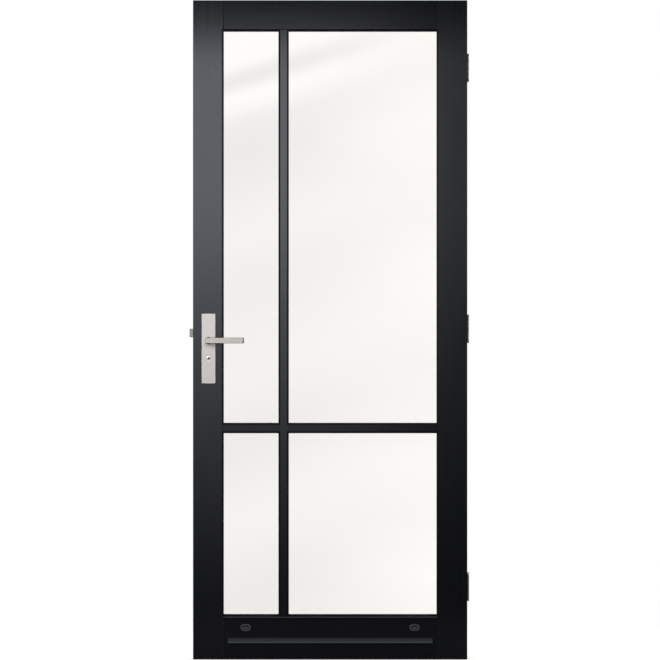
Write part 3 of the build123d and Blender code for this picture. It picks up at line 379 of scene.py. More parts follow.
def brushed_steel(name, stretch, colours=("D3CDC9", "F5F0EC")):
    """Stainless steel brushed along the axis that stretch shrinks."""
    finish, tree, _ = new_finish(name, Metallic=1.0)
    place = add_node(tree, "ShaderNodeTexCoord").outputs["Object"]
    along = add_node(tree, "ShaderNodeMapping", {"Vector": place, "Scale": stretch})
    lines = add_node(
        tree,
        "ShaderNodeTexNoise",
        {"Vector": along.outputs[0], "Scale": 1 / scratch_width, "Detail": 3.0, "Roughness": 0.65},
    )
    two_shades(finish, lines.outputs[0], colours)
    rub_and_relief(
        finish, lines.outputs[0], rough=(0.42, 0.54), bump=0.12, depth=0.05 * MM, contrast=(0.3, 0.7)
    )
    return finish


steel_up = brushed_steel("satin_stainless_brushed_upright", stretched_up)
steel_across = brushed_steel("satin_stainless_brushed_level", stretched_across, ("C6C0BA", "E6E1DC"))
steel_turned = brushed_steel("satin_stainless_turned", (1, 1, 1))
hinge_leaves = [
    f"hinge_{side}_leaf_{rank}" for side in ("door", "frame") for rank in ("top", "middle", "bottom")
]
wear(steel_up, "lock_faceplate", *hinge_leaves)
wear(steel_across, "lever_outer", "lever_inner")
wear(steel_turned, "hinge_pins", "hinge_bearings")

# %% [markdown]
# ## The handle's plate
#
# The plate's rounded rim gets a painted highlight: a paler colour laid over it, so that from in front
# the rim is a thin pale frame round the plate. The mask for it is the distance to the nearest side of
# the plate's outline.

# %% A plate with a painted highlight on its rim
rim_width = 1.8 * MM


def rim_of(tree, place, low, high, width):
    """1 within this width of the border of an upright rectangle, and 0 inside it."""
    axes = add_node(tree, "ShaderNodeSeparateXYZ", {0: place})
    inside = []
    for axis in ("x", "z"):
        middle = (getattr(low, axis) + getattr(high, axis)) / 2
        half = (getattr(high, axis) - getattr(low, axis)) / 2
        across = axes.outputs[axis.upper()]
        off = add_node(tree, "ShaderNodeMath", {0: across, 1: middle}, operation="SUBTRACT")
        out = add_node(tree, "ShaderNodeMath", {0: off.outputs[0]}, operation="ABSOLUTE")
        left = add_node(tree, "ShaderNodeMath", {0: half, 1: out.outputs[0]}, operation="SUBTRACT")
        inside.append(left.outputs[0])
    nearest = add_node(tree, "ShaderNodeMath", {0: inside[0], 1: inside[1]}, operation="MINIMUM")
    limits = {"From Min": width * 0.7, "From Max": width, "To Min": 1.0, "To Max": 0.0}
    return add_node(tree, "ShaderNodeMapRange", {"Value": nearest.outputs[0], **limits}).outputs[0]


plate_low, plate_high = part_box("plate_outer")
steel_plate = brushed_steel("satin_stainless_plate_with_painted_highlight_rim", stretched_up)
place = add_node(steel_plate.node_tree, "ShaderNodeTexCoord").outputs["Object"]
# the pale rim is a painted highlight
lay_over(steel_plate, rim_of(steel_plate.node_tree, place, plate_low, plate_high, rim_width), "FFFDFA")
wear(steel_plate, "plate_outer", "plate_inner")

# %% [markdown]
# ## Nickel and zinc
#
# The profile cylinder is brass with a matt nickel plate. Nickel is a little warmer and darker than
# stainless steel. The latch and the deadbolt have the same plate over steel, because it slides well. The
# lock case, the follower, the spindle and all screws are zinc plated, which is duller, slightly blue and
# cloudy. Plating has no direction, so its texture is a plain noise, fine on nickel and coarse on zinc.

# %% Nickel and zinc plating
plated_spread = 0.05


def plating(name, colours, grain, rough, bump=0.05):
    """A plated metal with a cloudy, slightly uneven surface of this grain in metres."""
    finish, tree, _ = new_finish(name, Metallic=1.0)
    place = add_node(tree, "ShaderNodeTexCoord").outputs["Object"]
    cloud = add_node(tree, "ShaderNodeTexNoise", {"Vector": place, "Scale": 1 / grain, "Detail": 2.0})
    spread = (rough - plated_spread, rough + plated_spread)
    two_shades(finish, cloud.outputs[0], colours)
    rub_and_relief(finish, cloud.outputs[0], spread, bump, depth=0.02 * MM, contrast=(0.3, 0.7))
    return finish


matt_nickel = plating("matt_nickel_plate", ("CDC8C1", "DCD8D1"), grain=0.5 * MM, rough=0.33, bump=0.02)
zinc_plate = plating("zinc_plated_steel", ("9EA2A6", "BFC3C7"), grain=2.5 * MM, rough=0.42)
wear(matt_nickel, "cylinder_body", "cylinder_plug_outer", "cylinder_plug_inner", "latch_bolt", "deadbolt")
wear(zinc_plate, "lock_case", "lock_cover", "follower", "spindle", "cylinder_cam", "latch_spring")
wear(zinc_plate, "cylinder_screw", "lock_screws", "plate_screws", "grub_screws", "hinge_screws")

# %% [markdown]
# ## Rubber and plastic
#
# Glazing tape, edge sealant and setting blocks are matt, and mostly out of sight. The ventilation caps
# are moulded in dark grey polypropylene, one shade lighter than the paint round them, and the bushes of
# the handle are black nylon. A mould leaves an even fine grain without direction. It is drawn at half a
# millimetre to a millimetre, several times coarser than real, so that close views show it.

# %% Rubber and plastic
moulded_spread = 0.08


def moulded(name, colours, grain, rough):
    """A moulded plastic or rubber with a fine grain in its surface."""
    finish, tree, _ = new_finish(name, IOR=1.5)
    place = add_node(tree, "ShaderNodeTexCoord").outputs["Object"]
    speck = add_node(tree, "ShaderNodeTexNoise", {"Vector": place, "Scale": 1 / grain, "Detail": 3.0})
    spread = (rough - moulded_spread, rough + moulded_spread)
    two_shades(finish, speck.outputs[0], colours)
    rub_and_relief(finish, speck.outputs[0], spread, bump=0.3, depth=0.05 * MM)
    return finish


black_rubber = moulded("black_glazing_rubber", ("0C0C0D", "141415"), grain=0.8 * MM, rough=0.6)
grey_plastic = moulded("dark_grey_polypropylene", ("323337", "3D3E42"), grain=0.7 * MM, rough=0.45)
hard_block = moulded("setting_block_polymer", ("1E2A3A", "26344A"), grain=1.0 * MM, rough=0.5)
black_nylon = moulded("black_nylon_bush", ("161617", "1E1E20"), grain=0.6 * MM, rough=0.4)
wear(black_rubber, "glazing_tape_outer", "glazing_tape_inner", "edge_sealant", "bar_tapes")
wear(grey_plastic, "vent_cap_left", "vent_cap_right")
wear(hard_block, "setting_blocks")
wear(black_nylon, "bush_outer", "bush_inner")

# %% [markdown]
# ## The spacer between the panes
#
# The spacer that holds the panes apart is a dark composite with rows of tiny holes, through which the
# beads inside it keep the cavity dry. One sees it on looking at the glass from the side. Modelled holes
# would cost thousands of faces, so a Voronoi texture without randomness lays them out in a grid, three
# millimetres apart, as dents with near black dots of painted shade, the shade that would fall inside each
# hole.

# %% Warm edge spacer
hole_pitch = 3.0 * MM

warm_edge, tree, shader = new_finish("warm_edge_spacer", Roughness=0.45, IOR=1.5)
place = add_node(tree, "ShaderNodeTexCoord").outputs["Object"]
holes = add_node(tree, "ShaderNodeTexVoronoi", {"Vector": place, "Scale": 1 / hole_pitch, "Randomness": 0.0})
shaded_holes = add_node(
    tree,
    "ShaderNodeMapRange",
    {"Value": holes.outputs["Distance"], "From Min": 0.12, "From Max": 0.2},
)
# the near black dots are painted shade inside the holes
two_shades(warm_edge, shaded_holes.outputs[0], ("050505", "26272A"))
dents = add_node(tree, "ShaderNodeBump", {"Height": shaded_holes.outputs[0], "Strength": 0.5, "Distance": 0.2 * MM})
tree.links.new(dents.outputs[0], shader.inputs["Normal"])
wear(warm_edge, "glass_spacer", "spacer_bars")

# %% [markdown]
# ## The drip bar
#
# The drip bar is extruded aluminium with an anthracite powder coat, which is matt and finely speckled.
# Its colour paints light and shade: the nose at the foot is a paler, bluer grey, a painted highlight,
# and a dark line of painted shade lies along the top, where the bar meets the rail. A Color Ramp over
# the bar's own height gives both.

# %% Anthracite powder coat
speck_width = 0.6 * MM
# painted highlight and shade, from the foot of the bar at 0 to its top at 1
drip_painted_light = (
    (0.35, linear("373D43")),
    (0.5, linear("27282B")),
    (0.7, linear("28292C")),
    (0.85, linear("0E0F10")),
)


def set_stops(ramp, stops):
    """Sets the stops of a Color Ramp, pairs of a position from 0 to 1 and a colour."""
    first, last = ramp.color_ramp.elements
    for end, (position, colour) in ((first, stops[0]), (last, stops[-1])):
        end.position = position
        end.color = colour
    for position, colour in stops[1:-1]:
        ramp.color_ramp.elements.new(position).color = colour


powder_coat, tree, shader = new_finish("anthracite_powder_coat", IOR=1.5)
place = add_node(tree, "ShaderNodeTexCoord").outputs["Object"]
speck = add_node(tree, "ShaderNodeTexNoise", {"Vector": place, "Scale": 1 / speck_width, "Detail": 3.0})
rub_and_relief(powder_coat, speck.outputs[0], rough=(0.4, 0.6), bump=0.3, depth=0.03 * MM)
axes = add_node(tree, "ShaderNodeSeparateXYZ", {0: place})
drip_low, drip_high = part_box("drip_bar")
rise = add_node(
    tree,
    "ShaderNodeMapRange",
    {"Value": axes.outputs["Z"], "From Min": drip_low.z, "From Max": drip_high.z},
)
# the ramp paints a highlight on the nose and shade along the top
coat = add_node(tree, "ShaderNodeValToRGB", {"Fac": rise.outputs[0]})
set_stops(coat, drip_painted_light)
tree.links.new(coat.outputs["Color"], shader.inputs["Base Color"])
wear(powder_coat, "drip_bar")

# %% [markdown]
# ## Beech dowels
#
# The dowels that join rails and stiles are hidden, but a library part can be taken apart. Beech is pale
# and pinkish, with short dark flecks along the grain. The dowels lie along X, so a noise stretched
# along X gives the flecks, and at this size rings or rays would never show.

# %% Beech dowels
fleck_width = 0.8 * MM

beech, tree, _ = new_finish("beech_dowel", Roughness=0.55, IOR=1.5)
place = add_node(tree, "ShaderNodeTexCoord").outputs["Object"]
along = add_node(tree, "ShaderNodeMapping", {"Vector": place, "Scale": (0.12, 1, 1)}).outputs[0]
flecks = add_node(tree, "ShaderNodeTexNoise", {"Vector": along, "Scale": 1 / fleck_width, "Detail": 4.0})
two_shades(beech, flecks.outputs[0], ("B98A63", "DDB58C"))
wear(beech, "rail_dowels")

# %% [markdown]
# ## Picking what to work on
#
# The new pieces are made with the same operators as by hand. An operator works on whatever is selected,
# so each step first clears the selection and then picks faces, edges or points by where they are.

# %% Helpers for picking
def start_clean():
    """Deselects everything, so that an operator acts only on what is picked next."""
    if bpy.context.object and bpy.context.object.mode != "OBJECT":
        bpy.ops.object.mode_set(mode="OBJECT")
    bpy.ops.object.select_all(action="DESELECT")


def take_up(*pieces):
    """Selects these pieces alone, with the last of them active."""
    start_clean()
    for piece in pieces:
        piece.select_set(True)
    bpy.context.view_layer.objects.active = pieces[-1]


def pick(kind, test):
    """In edit mode, selects only the faces, edges or vertices that pass the test."""
    bpy.ops.mesh.select_mode(type=kind)
    bpy.ops.mesh.select_all(action="DESELECT")
    shape = bmesh.from_edit_mesh(bpy.context.object.data)
    parts = {"FACE": shape.faces, "EDGE": shape.edges, "VERT": shape.verts}[kind]
    for part in parts:
        part.select = test(part)
    shape.select_flush_mode()
    bmesh.update_edit_mesh(bpy.context.object.data)


# %% [markdown]
# ## Finishing a piece
#
# A finished piece has its place in its mesh and its object at the origin, as the CAD pieces have. What
# occurs twice is modelled once and mirrored, with a mesh of its own. Each piece then gets a finish and
# the moving body that it rides on.

# %% Helpers for finished pieces
def settle(piece):
    """Puts the piece's place into its mesh, so that its object sits at the origin."""
    take_up(piece)
    bpy.ops.object.transform_apply(location=True, rotation=True, scale=True)
    return piece


def twin(piece, name, axis="Y"):
    """A mirrored copy with its own mesh and with its faces turned the right way out."""
    copy = piece.copy()
    copy.data = piece.data.copy()
    copy.name = name
    bpy.context.scene.collection.objects.link(copy)
    flip = {"X": (-1, 1, 1), "Y": (1, -1, 1)}[axis]
    copy.data.transform(Matrix.Diagonal((*flip, 1)))
    copy.data.flip_normals()
    return copy


def dress(piece, finish, body):
    """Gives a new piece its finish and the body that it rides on."""
    piece.data.materials.clear()
    piece.data.materials.append(finish)
    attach(piece, body)
    print(piece.name, len(piece.data.polygons), "faces")
    return piece


# %% [markdown]
# ## The sealant line round the glass
#
# Where glass meets timber, the installer runs a thin line of black sealant and draws a wet finger along
# it, which leaves a small hollow fillet. The CAD stops at the flat tape behind it. By hand the fillet is
# a picture frame: a flat ring as wide as the fillet, pulled forward to its height, with the inner front
# edge bevelled to a hollow. A curve with a section would also do, but its corners wouldn't meet as neatly
# as those of an inset. One fillet is made for each of the four lights, and mirrored for the room side.

# %% Sealant round the four lights
glass_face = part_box("pane_outer")[0].y
bar_low, bar_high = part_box("bar_upright_outer")
cross_low, cross_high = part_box("bar_cross_left_outer")
sight_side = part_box("sill_bead")[1].x
sight_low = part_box("sill_bead")[1].z
columns = ((-sight_side, bar_low.x), (bar_high.x, sight_side))
rows = ((sight_low, cross_low.z), (cross_high.z, opening_high))
fillet_width = 1.0 * MM
fillet_height = 1.4 * MM
touch = 0.01 * MM


def sealant_ring(name, x, z):
    """One hollow fillet round the light between two values of X and two of Z."""
    start_clean()
    bpy.ops.mesh.primitive_plane_add(
        size=1,
        location=((x[0] + x[1]) / 2, glass_face, (z[0] + z[1]) / 2),
        rotation=(math.radians(90), 0, 0),
    )
    ring = bpy.context.object
    ring.name = name
    ring.scale = (x[1] - x[0], z[1] - z[0], 1)
    settle(ring)
    bpy.ops.object.mode_set(mode="EDIT")
    bpy.ops.mesh.select_all(action="SELECT")
    bpy.ops.mesh.inset(thickness=fillet_width)
    bpy.ops.mesh.delete(type="FACE")
    bpy.ops.mesh.select_all(action="SELECT")
    bpy.ops.mesh.extrude_region_move(TRANSFORM_OT_translate={"value": (0, -fillet_height, 0)})
    front = glass_face - fillet_height
    near = fillet_width - touch

    def inner_front(edge):
        return all(
            abs(v.co.y - front) < touch
            and x[0] + near < v.co.x < x[1] - near
            and z[0] + near < v.co.z < z[1] - near
            for v in edge.verts
        )

    pick("EDGE", inner_front)
    bpy.ops.mesh.bevel(offset=fillet_width * 0.9, segments=4, profile=0.25, affect="EDGES")
    bpy.ops.mesh.select_all(action="SELECT")
    bpy.ops.mesh.normals_make_consistent(inside=False)
    bpy.ops.object.mode_set(mode="OBJECT")
    bpy.ops.object.shade_smooth_by_angle(angle=math.radians(35))
    return ring


for column, side in zip(columns, ("left", "right")):
    for row, level in zip(rows, ("low", "high")):
        ring = sealant_ring(f"sealant_{level}_{side}_outer", column, row)
        dress(ring, black_rubber, "door_leaf")
        dress(twin(ring, f"sealant_{level}_{side}_inner"), black_rubber, "door_leaf")

# %% [markdown]
# ## Rods and cuts
#
# The caps and the plugs below start from round and square rods, and have holes cut in them. A hole is
# made with the Boolean modifier: a second closed shape is taken out of the first and thrown away.

# %% Rods and cuts
def box_at(name, size, place):
    """A box with this size and centre, its place already in its mesh."""
    start_clean()
    bpy.ops.mesh.primitive_cube_add(size=1, location=place)
    box = bpy.context.object
    box.name = name
    box.scale = size
    return settle(box)


def rod_at(name, radii, length, place, sides=50):
    """A level oval rod that points out of the door, with these radii and this centre."""
    start_clean()
    bpy.ops.mesh.primitive_cylinder_add(
        vertices=sides, radius=1, depth=length, location=place, rotation=(math.radians(90), 0, 0)
    )
    rod = bpy.context.object
    rod.name = name
    rod.scale = (radii[0], radii[1], 1)
    return settle(rod)


def cut(piece, cutter):
    """Cuts one closed piece out of another and throws the cutter away."""
    take_up(piece)
    knife = piece.modifiers.new("cut", "BOOLEAN")
    knife.operation = "DIFFERENCE"
    knife.solver = "EXACT"
    knife.object = cutter
    bpy.ops.object.modifier_apply(modifier=knife.name)
    bpy.data.objects.remove(cutter, do_unlink=True)


# %% [markdown]
# ## The ventilation caps
#
# The two caps near the foot let damp air out of the glazing rebate. Each is moulded in one go: an oval
# rim, a sunken field, and a low dome that keeps rain out of the arched slot above it. By hand the oval
# is a round disc pulled apart in the middle, its front is inset twice for the rim and the field, the
# spigot is pulled out of its back, and an oval cutter opens the slot. Cutting all of it out of a block
# would give the same form, but insets leave even borders that a bevel can round.

# %% Rim, field and spigot
cap_low, cap_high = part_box("vent_cap_left")
cap_middle = (cap_low + cap_high) / 2
cap_width = 34 * MM
cap_tall = cap_high.z - cap_low.z
cap_flange = face_outside - cap_low.y
cap_place = Vector((cap_middle.x, face_outside - cap_flange / 2, cap_middle.z))
rim_round = 1.0 * MM
cap_rim = 1.9 * MM
field_slope = 0.9 * MM
field_depth = 1.9 * MM
spigot_inset = 4.5 * MM
spigot_length = 15 * MM
spigot_wall = 1.0 * MM
spigot_floor = 0.1 * MM
slot_radii = (9.5 * MM, 5.5 * MM)
slot_depth = 6 * MM

cap = rod_at("vent_cap_left_cover", (cap_tall / 2, cap_tall / 2), cap_flange, cap_place)
take_up(cap)
bpy.ops.object.mode_set(mode="EDIT")
for side in (-1, 1):
    pick("VERT", lambda vertex: (vertex.co.x - cap_place.x) * side > 0)
    bpy.ops.transform.translate(value=(side * (cap_width - cap_tall) / 2, 0, 0))
pick("EDGE", lambda edge: all(v.co.y < face_outside - cap_flange + touch for v in edge.verts))
bpy.ops.mesh.bevel(offset=rim_round, segments=4, affect="EDGES")
pick("FACE", lambda face: face.normal.y < -0.99)
bpy.ops.mesh.inset(thickness=cap_rim)
bpy.ops.mesh.inset(thickness=field_slope, depth=-field_depth)
pick("FACE", lambda face: face.normal.y > 0.99)
bpy.ops.mesh.inset(thickness=spigot_inset)
bpy.ops.mesh.extrude_region_move(TRANSFORM_OT_translate={"value": (0, spigot_length, 0)})
bpy.ops.mesh.inset(thickness=spigot_wall)
bpy.ops.mesh.extrude_region_move(TRANSFORM_OT_translate={"value": (0, spigot_floor - spigot_length, 0)})
bpy.ops.object.mode_set(mode="OBJECT")
cut(cap, rod_at("slot", slot_radii, slot_depth, cap_place))
print("cap", round(cap_width / MM), "by", round(cap_tall / MM), "mm")

# %% [markdown]
# ## The dome in front of the slot
#
# The dome is the front of a flattened ball that sits a little low in the slot, so that an arch stays
# open above it. It is cut off flat behind and joined to the cap. A few faces pulled forward would look
# angular, and a ball is round from the start. The right cap is a mirrored copy.

# %% Dome
dome_radii = (8.3 * MM, 2.4 * MM, 4.9 * MM)
dome_drop = 2 * MM
dome_lead = 0.6 * MM
dome_back = face_outside - 0.3 * MM

start_clean()
dome_place = Vector((cap_place.x, face_outside - dome_lead, cap_place.z - dome_drop))
bpy.ops.mesh.primitive_uv_sphere_add(segments=48, ring_count=24, radius=1, location=dome_place)
dome = bpy.context.object
dome.name = "dome"
dome.scale = dome_radii
settle(dome)
bpy.ops.object.mode_set(mode="EDIT")
bpy.ops.mesh.select_all(action="SELECT")
bpy.ops.mesh.bisect(plane_co=(0, dome_back, 0), plane_no=(0, 1, 0), use_fill=True, clear_outer=True)
take_up(dome, cap)
bpy.ops.object.join()
bpy.ops.object.mode_set(mode="EDIT")
bpy.ops.mesh.select_all(action="SELECT")
bpy.ops.mesh.remove_doubles(threshold=0.02 * MM)
bpy.ops.object.mode_set(mode="OBJECT")
bpy.ops.object.shade_smooth_by_angle(angle=math.radians(30))
for cover, node in ((cap, "vent_cap_left"), (twin(cap, "vent_cap_right_cover", "X"), "vent_cap_right")):
    dress(cover, grey_plastic, "door_leaf")
    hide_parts(node)

# %% [markdown]
# ## The plugs of the cylinder
#
# The plug is the round core that the key turns. On the real thing its face is slightly domed and polished,
# so that it catches the light on one side, and the keyway in it is a tall dark slot with a step where
# the ward sits. By hand it is a cylinder whose front face is inset three times, each time pushed out a
# little less, and then cut with a slot made of two boxes. A part of a ball would be rounder, but on so
# small a face three steps with smooth shading look the same.

# %% The domed plug and its keyway
plug_low, plug_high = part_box("cylinder_plug_outer")
plug_radius = (plug_high.x - plug_low.x) / 2
plug_middle = (plug_low + plug_high) / 2
# each step of the dome: how far in from the last edge and how far out of the face
dome_steps = ((1.0 * MM, 0.38 * MM), (1.6 * MM, 0.3 * MM), (1.6 * MM, 0.12 * MM))
keyway_size = Vector((3.0, 9.0, 8.6)) * MM
keyway_foot = 0.9 * MM
ward_size = Vector((1.2 * MM, keyway_size.y, keyway_size.z / 3))

start_clean()
bpy.ops.mesh.primitive_cylinder_add(
    vertices=64,
    radius=plug_radius,
    depth=plug_high.y - plug_low.y,
    location=plug_middle,
    rotation=(math.radians(90), 0, 0),
)
plug = bpy.context.object
plug.name = "plug_outer"
settle(plug)
bpy.ops.object.mode_set(mode="EDIT")
for inward, outward in dome_steps:
    front = min(vertex.co.y for vertex in bmesh.from_edit_mesh(plug.data).verts)
    pick("FACE", lambda face: face.normal.y < -0.9 and face.calc_center_median().y < front + touch)
    bpy.ops.mesh.inset(thickness=inward, depth=outward)
bpy.ops.object.mode_set(mode="OBJECT")
keyway_rise = keyway_size.z / 2 + keyway_foot - plug_radius
keyway_place = Vector((plug_middle.x, plug_low.y, plug_middle.z + keyway_rise))
cut(plug, box_at("keyway", keyway_size, keyway_place))
ward_place = keyway_place + Vector((keyway_size.x / 2, 0, -keyway_size.z / 6))
cut(plug, box_at("ward", ward_size, ward_place))
take_up(plug)
bpy.ops.object.shade_smooth_by_angle(angle=math.radians(25))
print("plug", round(2 * plug_radius / MM, 1), "mm across")

# %% [markdown]
# ## Polished face, dark keyway
#
# Keys have polished the plug's face, so it is smoother and brighter than the plate round it. Inside the
# keyway the faces get a near black finish, painted shade where the slot is deep and narrow. One piece can
# wear two finishes: each face holds the number of its material, and the faces of the keyway are found by
# where they are. The plug on the room side is a mirrored copy.

# %% Finishes of the plugs
keyway_reach = 2.6 * MM
plug_edge = 0.5 * MM
face_depth = 3 * MM

polished_nickel = plating("polished_nickel_plug", ("E4E0DA", "F8F4EE"), grain=0.5 * MM, rough=0.24, bump=0.02)
# the near black keyway finish is painted shade inside the slot
keyway_shade = plating("keyway_painted_shade", ("0B0906", "171208"), grain=0.6 * MM, rough=0.5)


def in_keyway(face):
    """True for a face of the keyway's walls or of its floor."""
    offset = face.center - plug_middle
    beside = abs(offset.x) < keyway_reach and abs(offset.z) < plug_radius - plug_edge
    wall = beside and abs(face.normal.y) < 0.5
    deep = abs(face.normal.y) > 0.9 and abs(face.center.y) < abs(plug_low.y) - face_depth
    return wall or deep


inner_plug = twin(plug, "plug_inner")
for piece, node in ((plug, "cylinder_plug_outer"), (inner_plug, "cylinder_plug_inner")):
    dress(piece, polished_nickel, "key_barrel")
    piece.data.materials.append(keyway_shade)
    for face in piece.data.polygons:
        face.material_index = int(in_keyway(face))
    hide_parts(node)

# %% [markdown]
# ## The latch spring
#
# Inside the lock case a small coil spring pushes the latch out. When the handle draws the latch back,
# the coil is pressed together. By hand it is one small circle, the section of the wire, turned round
# the spring's axis by a Screw modifier that moves it along as it turns. A curve with a round section
# could follow the same helix, but would need its points worked out first.

# %% Latch spring
spring_low, spring_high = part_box("latch_spring")
spring_wire = 0.8 * MM
spring_turns = 9
spring_length = spring_high.x - spring_low.x
spring_radius = (spring_high.z - spring_low.z - spring_wire) / 2
spring_height = (spring_low.z + spring_high.z) / 2

start_clean()
bpy.ops.mesh.primitive_circle_add(
    vertices=8,
    radius=spring_wire / 2,
    location=(spring_low.x + spring_wire / 2, 0, spring_height),
    rotation=(math.radians(90), 0, 0),
)
spring = bpy.context.object
spring.name = "latch_spring_coil"
bpy.ops.object.mode_set(mode="EDIT")
bpy.ops.mesh.select_all(action="SELECT")
bpy.ops.transform.translate(value=(0, 0, spring_radius))
bpy.ops.object.mode_set(mode="OBJECT")
turn = spring.modifiers.new("turn", "SCREW")
turn.axis = "X"
turn.angle = math.radians(360)
turn.iterations = spring_turns
turn.screw_offset = (spring_length - spring_wire) / spring_turns
turn.steps = 20
turn.render_steps = 20
bpy.ops.object.modifier_apply(modifier=turn.name)
settle(spring)
print("spring", spring_turns, "turns,", round(spring_length / MM, 1), "mm long")

# %% [markdown]
# ## Closing the wire
#
# The Screw modifier leaves the wire open at its two ends, where the real one is cut off square. The open
# borders are the only edges that belong to a single face, so they can be selected as such and filled.

# %% Ends of the spring
bpy.ops.object.mode_set(mode="EDIT")
bpy.ops.mesh.select_mode(type="EDGE")
bpy.ops.mesh.select_all(action="DESELECT")
bpy.ops.mesh.select_non_manifold()
bpy.ops.mesh.edge_face_add()
bpy.ops.mesh.select_all(action="SELECT")
bpy.ops.mesh.normals_make_consistent(inside=False)
bpy.ops.object.mode_set(mode="OBJECT")
bpy.ops.object.shade_smooth_by_angle(angle=math.radians(50))
dress(spring, zinc_plate, "door_leaf")
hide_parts("latch_spring")
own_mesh(spring)

# %% [markdown]
# ## The studio
#
# The door stands on a pale floor in a white room. In a picture of a black shiny thing, almost all that
# one sees is what it reflects, so the light that matters is a set of tall glowing walls that stand out of
# the picture, in front, behind and at the sides. The camera and the diffuse light don't meet them: they
# are there only for gloss. Real studios do the same with sheets of white card.
#
# One small rule runs through all of them. A look that comes straight from the camera, or through clear
# glass, sees plain white. A look that has been mirrored once sees the walls and a dark floor.

# %% Straight looks and mirrored looks
def straight_look(tree):
    """The ray's own facts, and 1 for a look from the camera, also through glass, 0 once it is mirrored."""
    rays = add_node(tree, "ShaderNodeLightPath")
    depth = rays.outputs["Glossy Depth"]
    direct = add_node(tree, "ShaderNodeMath", {0: depth, 1: 0.5}, operation="LESS_THAN")
    through = add_node(
        tree,
        "ShaderNodeMath",
        {0: rays.outputs["Is Transmission Ray"], 1: direct.outputs[0]},
        operation="MULTIPLY",
    )
    seen = add_node(
        tree, "ShaderNodeMath", {0: rays.outputs["Is Camera Ray"], 1: through.outputs[0]}, operation="MAXIMUM"
    )
    return rays, seen.outputs[0]


# %% [markdown]
# ## The floor
#
# The floor is a round sheet of pale plaster board. Its rim has to melt into the white room, so the
# plaster fades to plain white between about one and two metres from the door. In the paint's own
# reflection the floor is dark grey, as the shaded floor close to a door is.

# %% Floor
floor_radius = 1.9
fade_start = 0.9
fade_end = 1.85
floor_lift = 0.36

start_clean()
bpy.ops.mesh.primitive_circle_add(vertices=96, radius=floor_radius, fill_type="NGON", location=(0, 0, 0))
floor = bpy.context.object
floor.name = "floor"
plaster, tree, shader = new_finish("pale_plaster_floor", Roughness=0.7, Base_Color=linear("E9E7E4"))
rays, seen = straight_look(tree)
place = add_node(tree, "ShaderNodeTexCoord").outputs["Object"]
reach = add_node(tree, "ShaderNodeVectorMath", {0: place}, operation="LENGTH").outputs["Value"]
rim = add_node(tree, "ShaderNodeMapRange", {"Value": reach, "From Min": fade_start, "From Max": fade_end})
lift = add_node(tree, "ShaderNodeEmission", {"Color": (1, 1, 1, 1), "Strength": floor_lift})
white = add_node(tree, "ShaderNodeEmission", {"Color": (1, 1, 1, 1), "Strength": 1.0})
lit = add_node(tree, "ShaderNodeAddShader", {0: shader.outputs[0], 1: lift.outputs[0]})
faded = add_node(tree, "ShaderNodeMixShader", {0: rim.outputs[0], 1: lit.outputs[0], 2: white.outputs[0]})
plain = add_node(tree, "ShaderNodeMixShader", {0: seen, 1: shader.outputs[0], 2: faded.outputs[0]})
shade = add_node(tree, "ShaderNodeBsdfDiffuse", {"Color": linear("5A5A5E")})
depth = rays.outputs["Glossy Depth"]
mirrored = add_node(tree, "ShaderNodeMath", {0: depth, 1: 0.5}, operation="GREATER_THAN").outputs[0]
board = add_node(tree, "ShaderNodeMixShader", {0: mirrored, 1: plain.outputs[0], 2: shade.outputs[0]})
tree.links.new(board.outputs[0], tree.nodes["Material Output"].inputs[0])
floor.data.materials.append(plaster)
print("floor", floor.dimensions.x, "m across")

# %% [markdown]
# ## The room
#
# The world is white to a straight look and nearly dark to a mirrored one, because there the walls take
# over. Its even fill reaches only matt surfaces, at a little under half of white.

# %% World
room_fill = 0.45
room_gloss = 0.05

world = bpy.data.worlds.new("white_room")
bpy.context.scene.world = world
world.use_nodes = True
tree = world.node_tree
rays, seen = straight_look(tree)
glossy, diffuse = rays.outputs["Is Glossy Ray"], rays.outputs["Is Diffuse Ray"]
dim = add_node(tree, "ShaderNodeMath", {0: glossy, 1: room_gloss}, operation="MULTIPLY")
fill = add_node(tree, "ShaderNodeMath", {0: diffuse, 1: room_fill}, operation="MULTIPLY")
unseen = add_node(tree, "ShaderNodeMath", {0: dim.outputs[0], 1: fill.outputs[0]}, operation="MAXIMUM")
level = add_node(tree, "ShaderNodeMath", {0: seen, 1: unseen.outputs[0]}, operation="MAXIMUM")
tree.links.new(level.outputs[0], tree.nodes["Background"].inputs["Strength"])
tree.nodes["Background"].inputs["Color"].default_value = (1, 1, 1, 1)
print("room fill", room_fill, "of white")

# %% [markdown]
# ## Sheets that only gloss meets
#
# Each glowing wall is a flat sheet that casts no shadow and that neither the camera nor the diffuse
# light meets. An area lamp could do the same, but its glow is even, and here it has to follow a pattern.
# So the sheets are meshes with a glowing material, and straight looks pass through it.

# %% Helpers for glowing sheets
def gloss_sheet(name, size, location, rotation):
    """Adds a flat sheet that only mirrored looks meet, and returns its still empty node tree."""
    start_clean()
    bpy.ops.mesh.primitive_plane_add(size=1, location=location, rotation=rotation)
    sheet = bpy.context.object
    sheet.name = name
    sheet.scale = (*size, 1)
    settle(sheet)
    sheet.visible_camera = False
    sheet.visible_shadow = False
    sheet.visible_diffuse = False
    glow = bpy.data.materials.new(name + "_glow")
    glow.use_nodes = True
    glow.node_tree.nodes.remove(glow.node_tree.nodes["Principled BSDF"])
    sheet.data.materials.append(glow)
    return glow.node_tree


def end_in_glow(tree, seen, colour, strength):
    """Ends a sheet's nodes in a glow that a straight look passes through."""
    shine = add_node(tree, "ShaderNodeEmission", {"Color": colour, "Strength": strength})
    clear = add_node(tree, "ShaderNodeBsdfTransparent")
    both = add_node(tree, "ShaderNodeMixShader", {0: seen, 1: shine.outputs[0], 2: clear.outputs[0]})
    tree.links.new(both.outputs[0], tree.nodes["Material Output"].inputs[0])


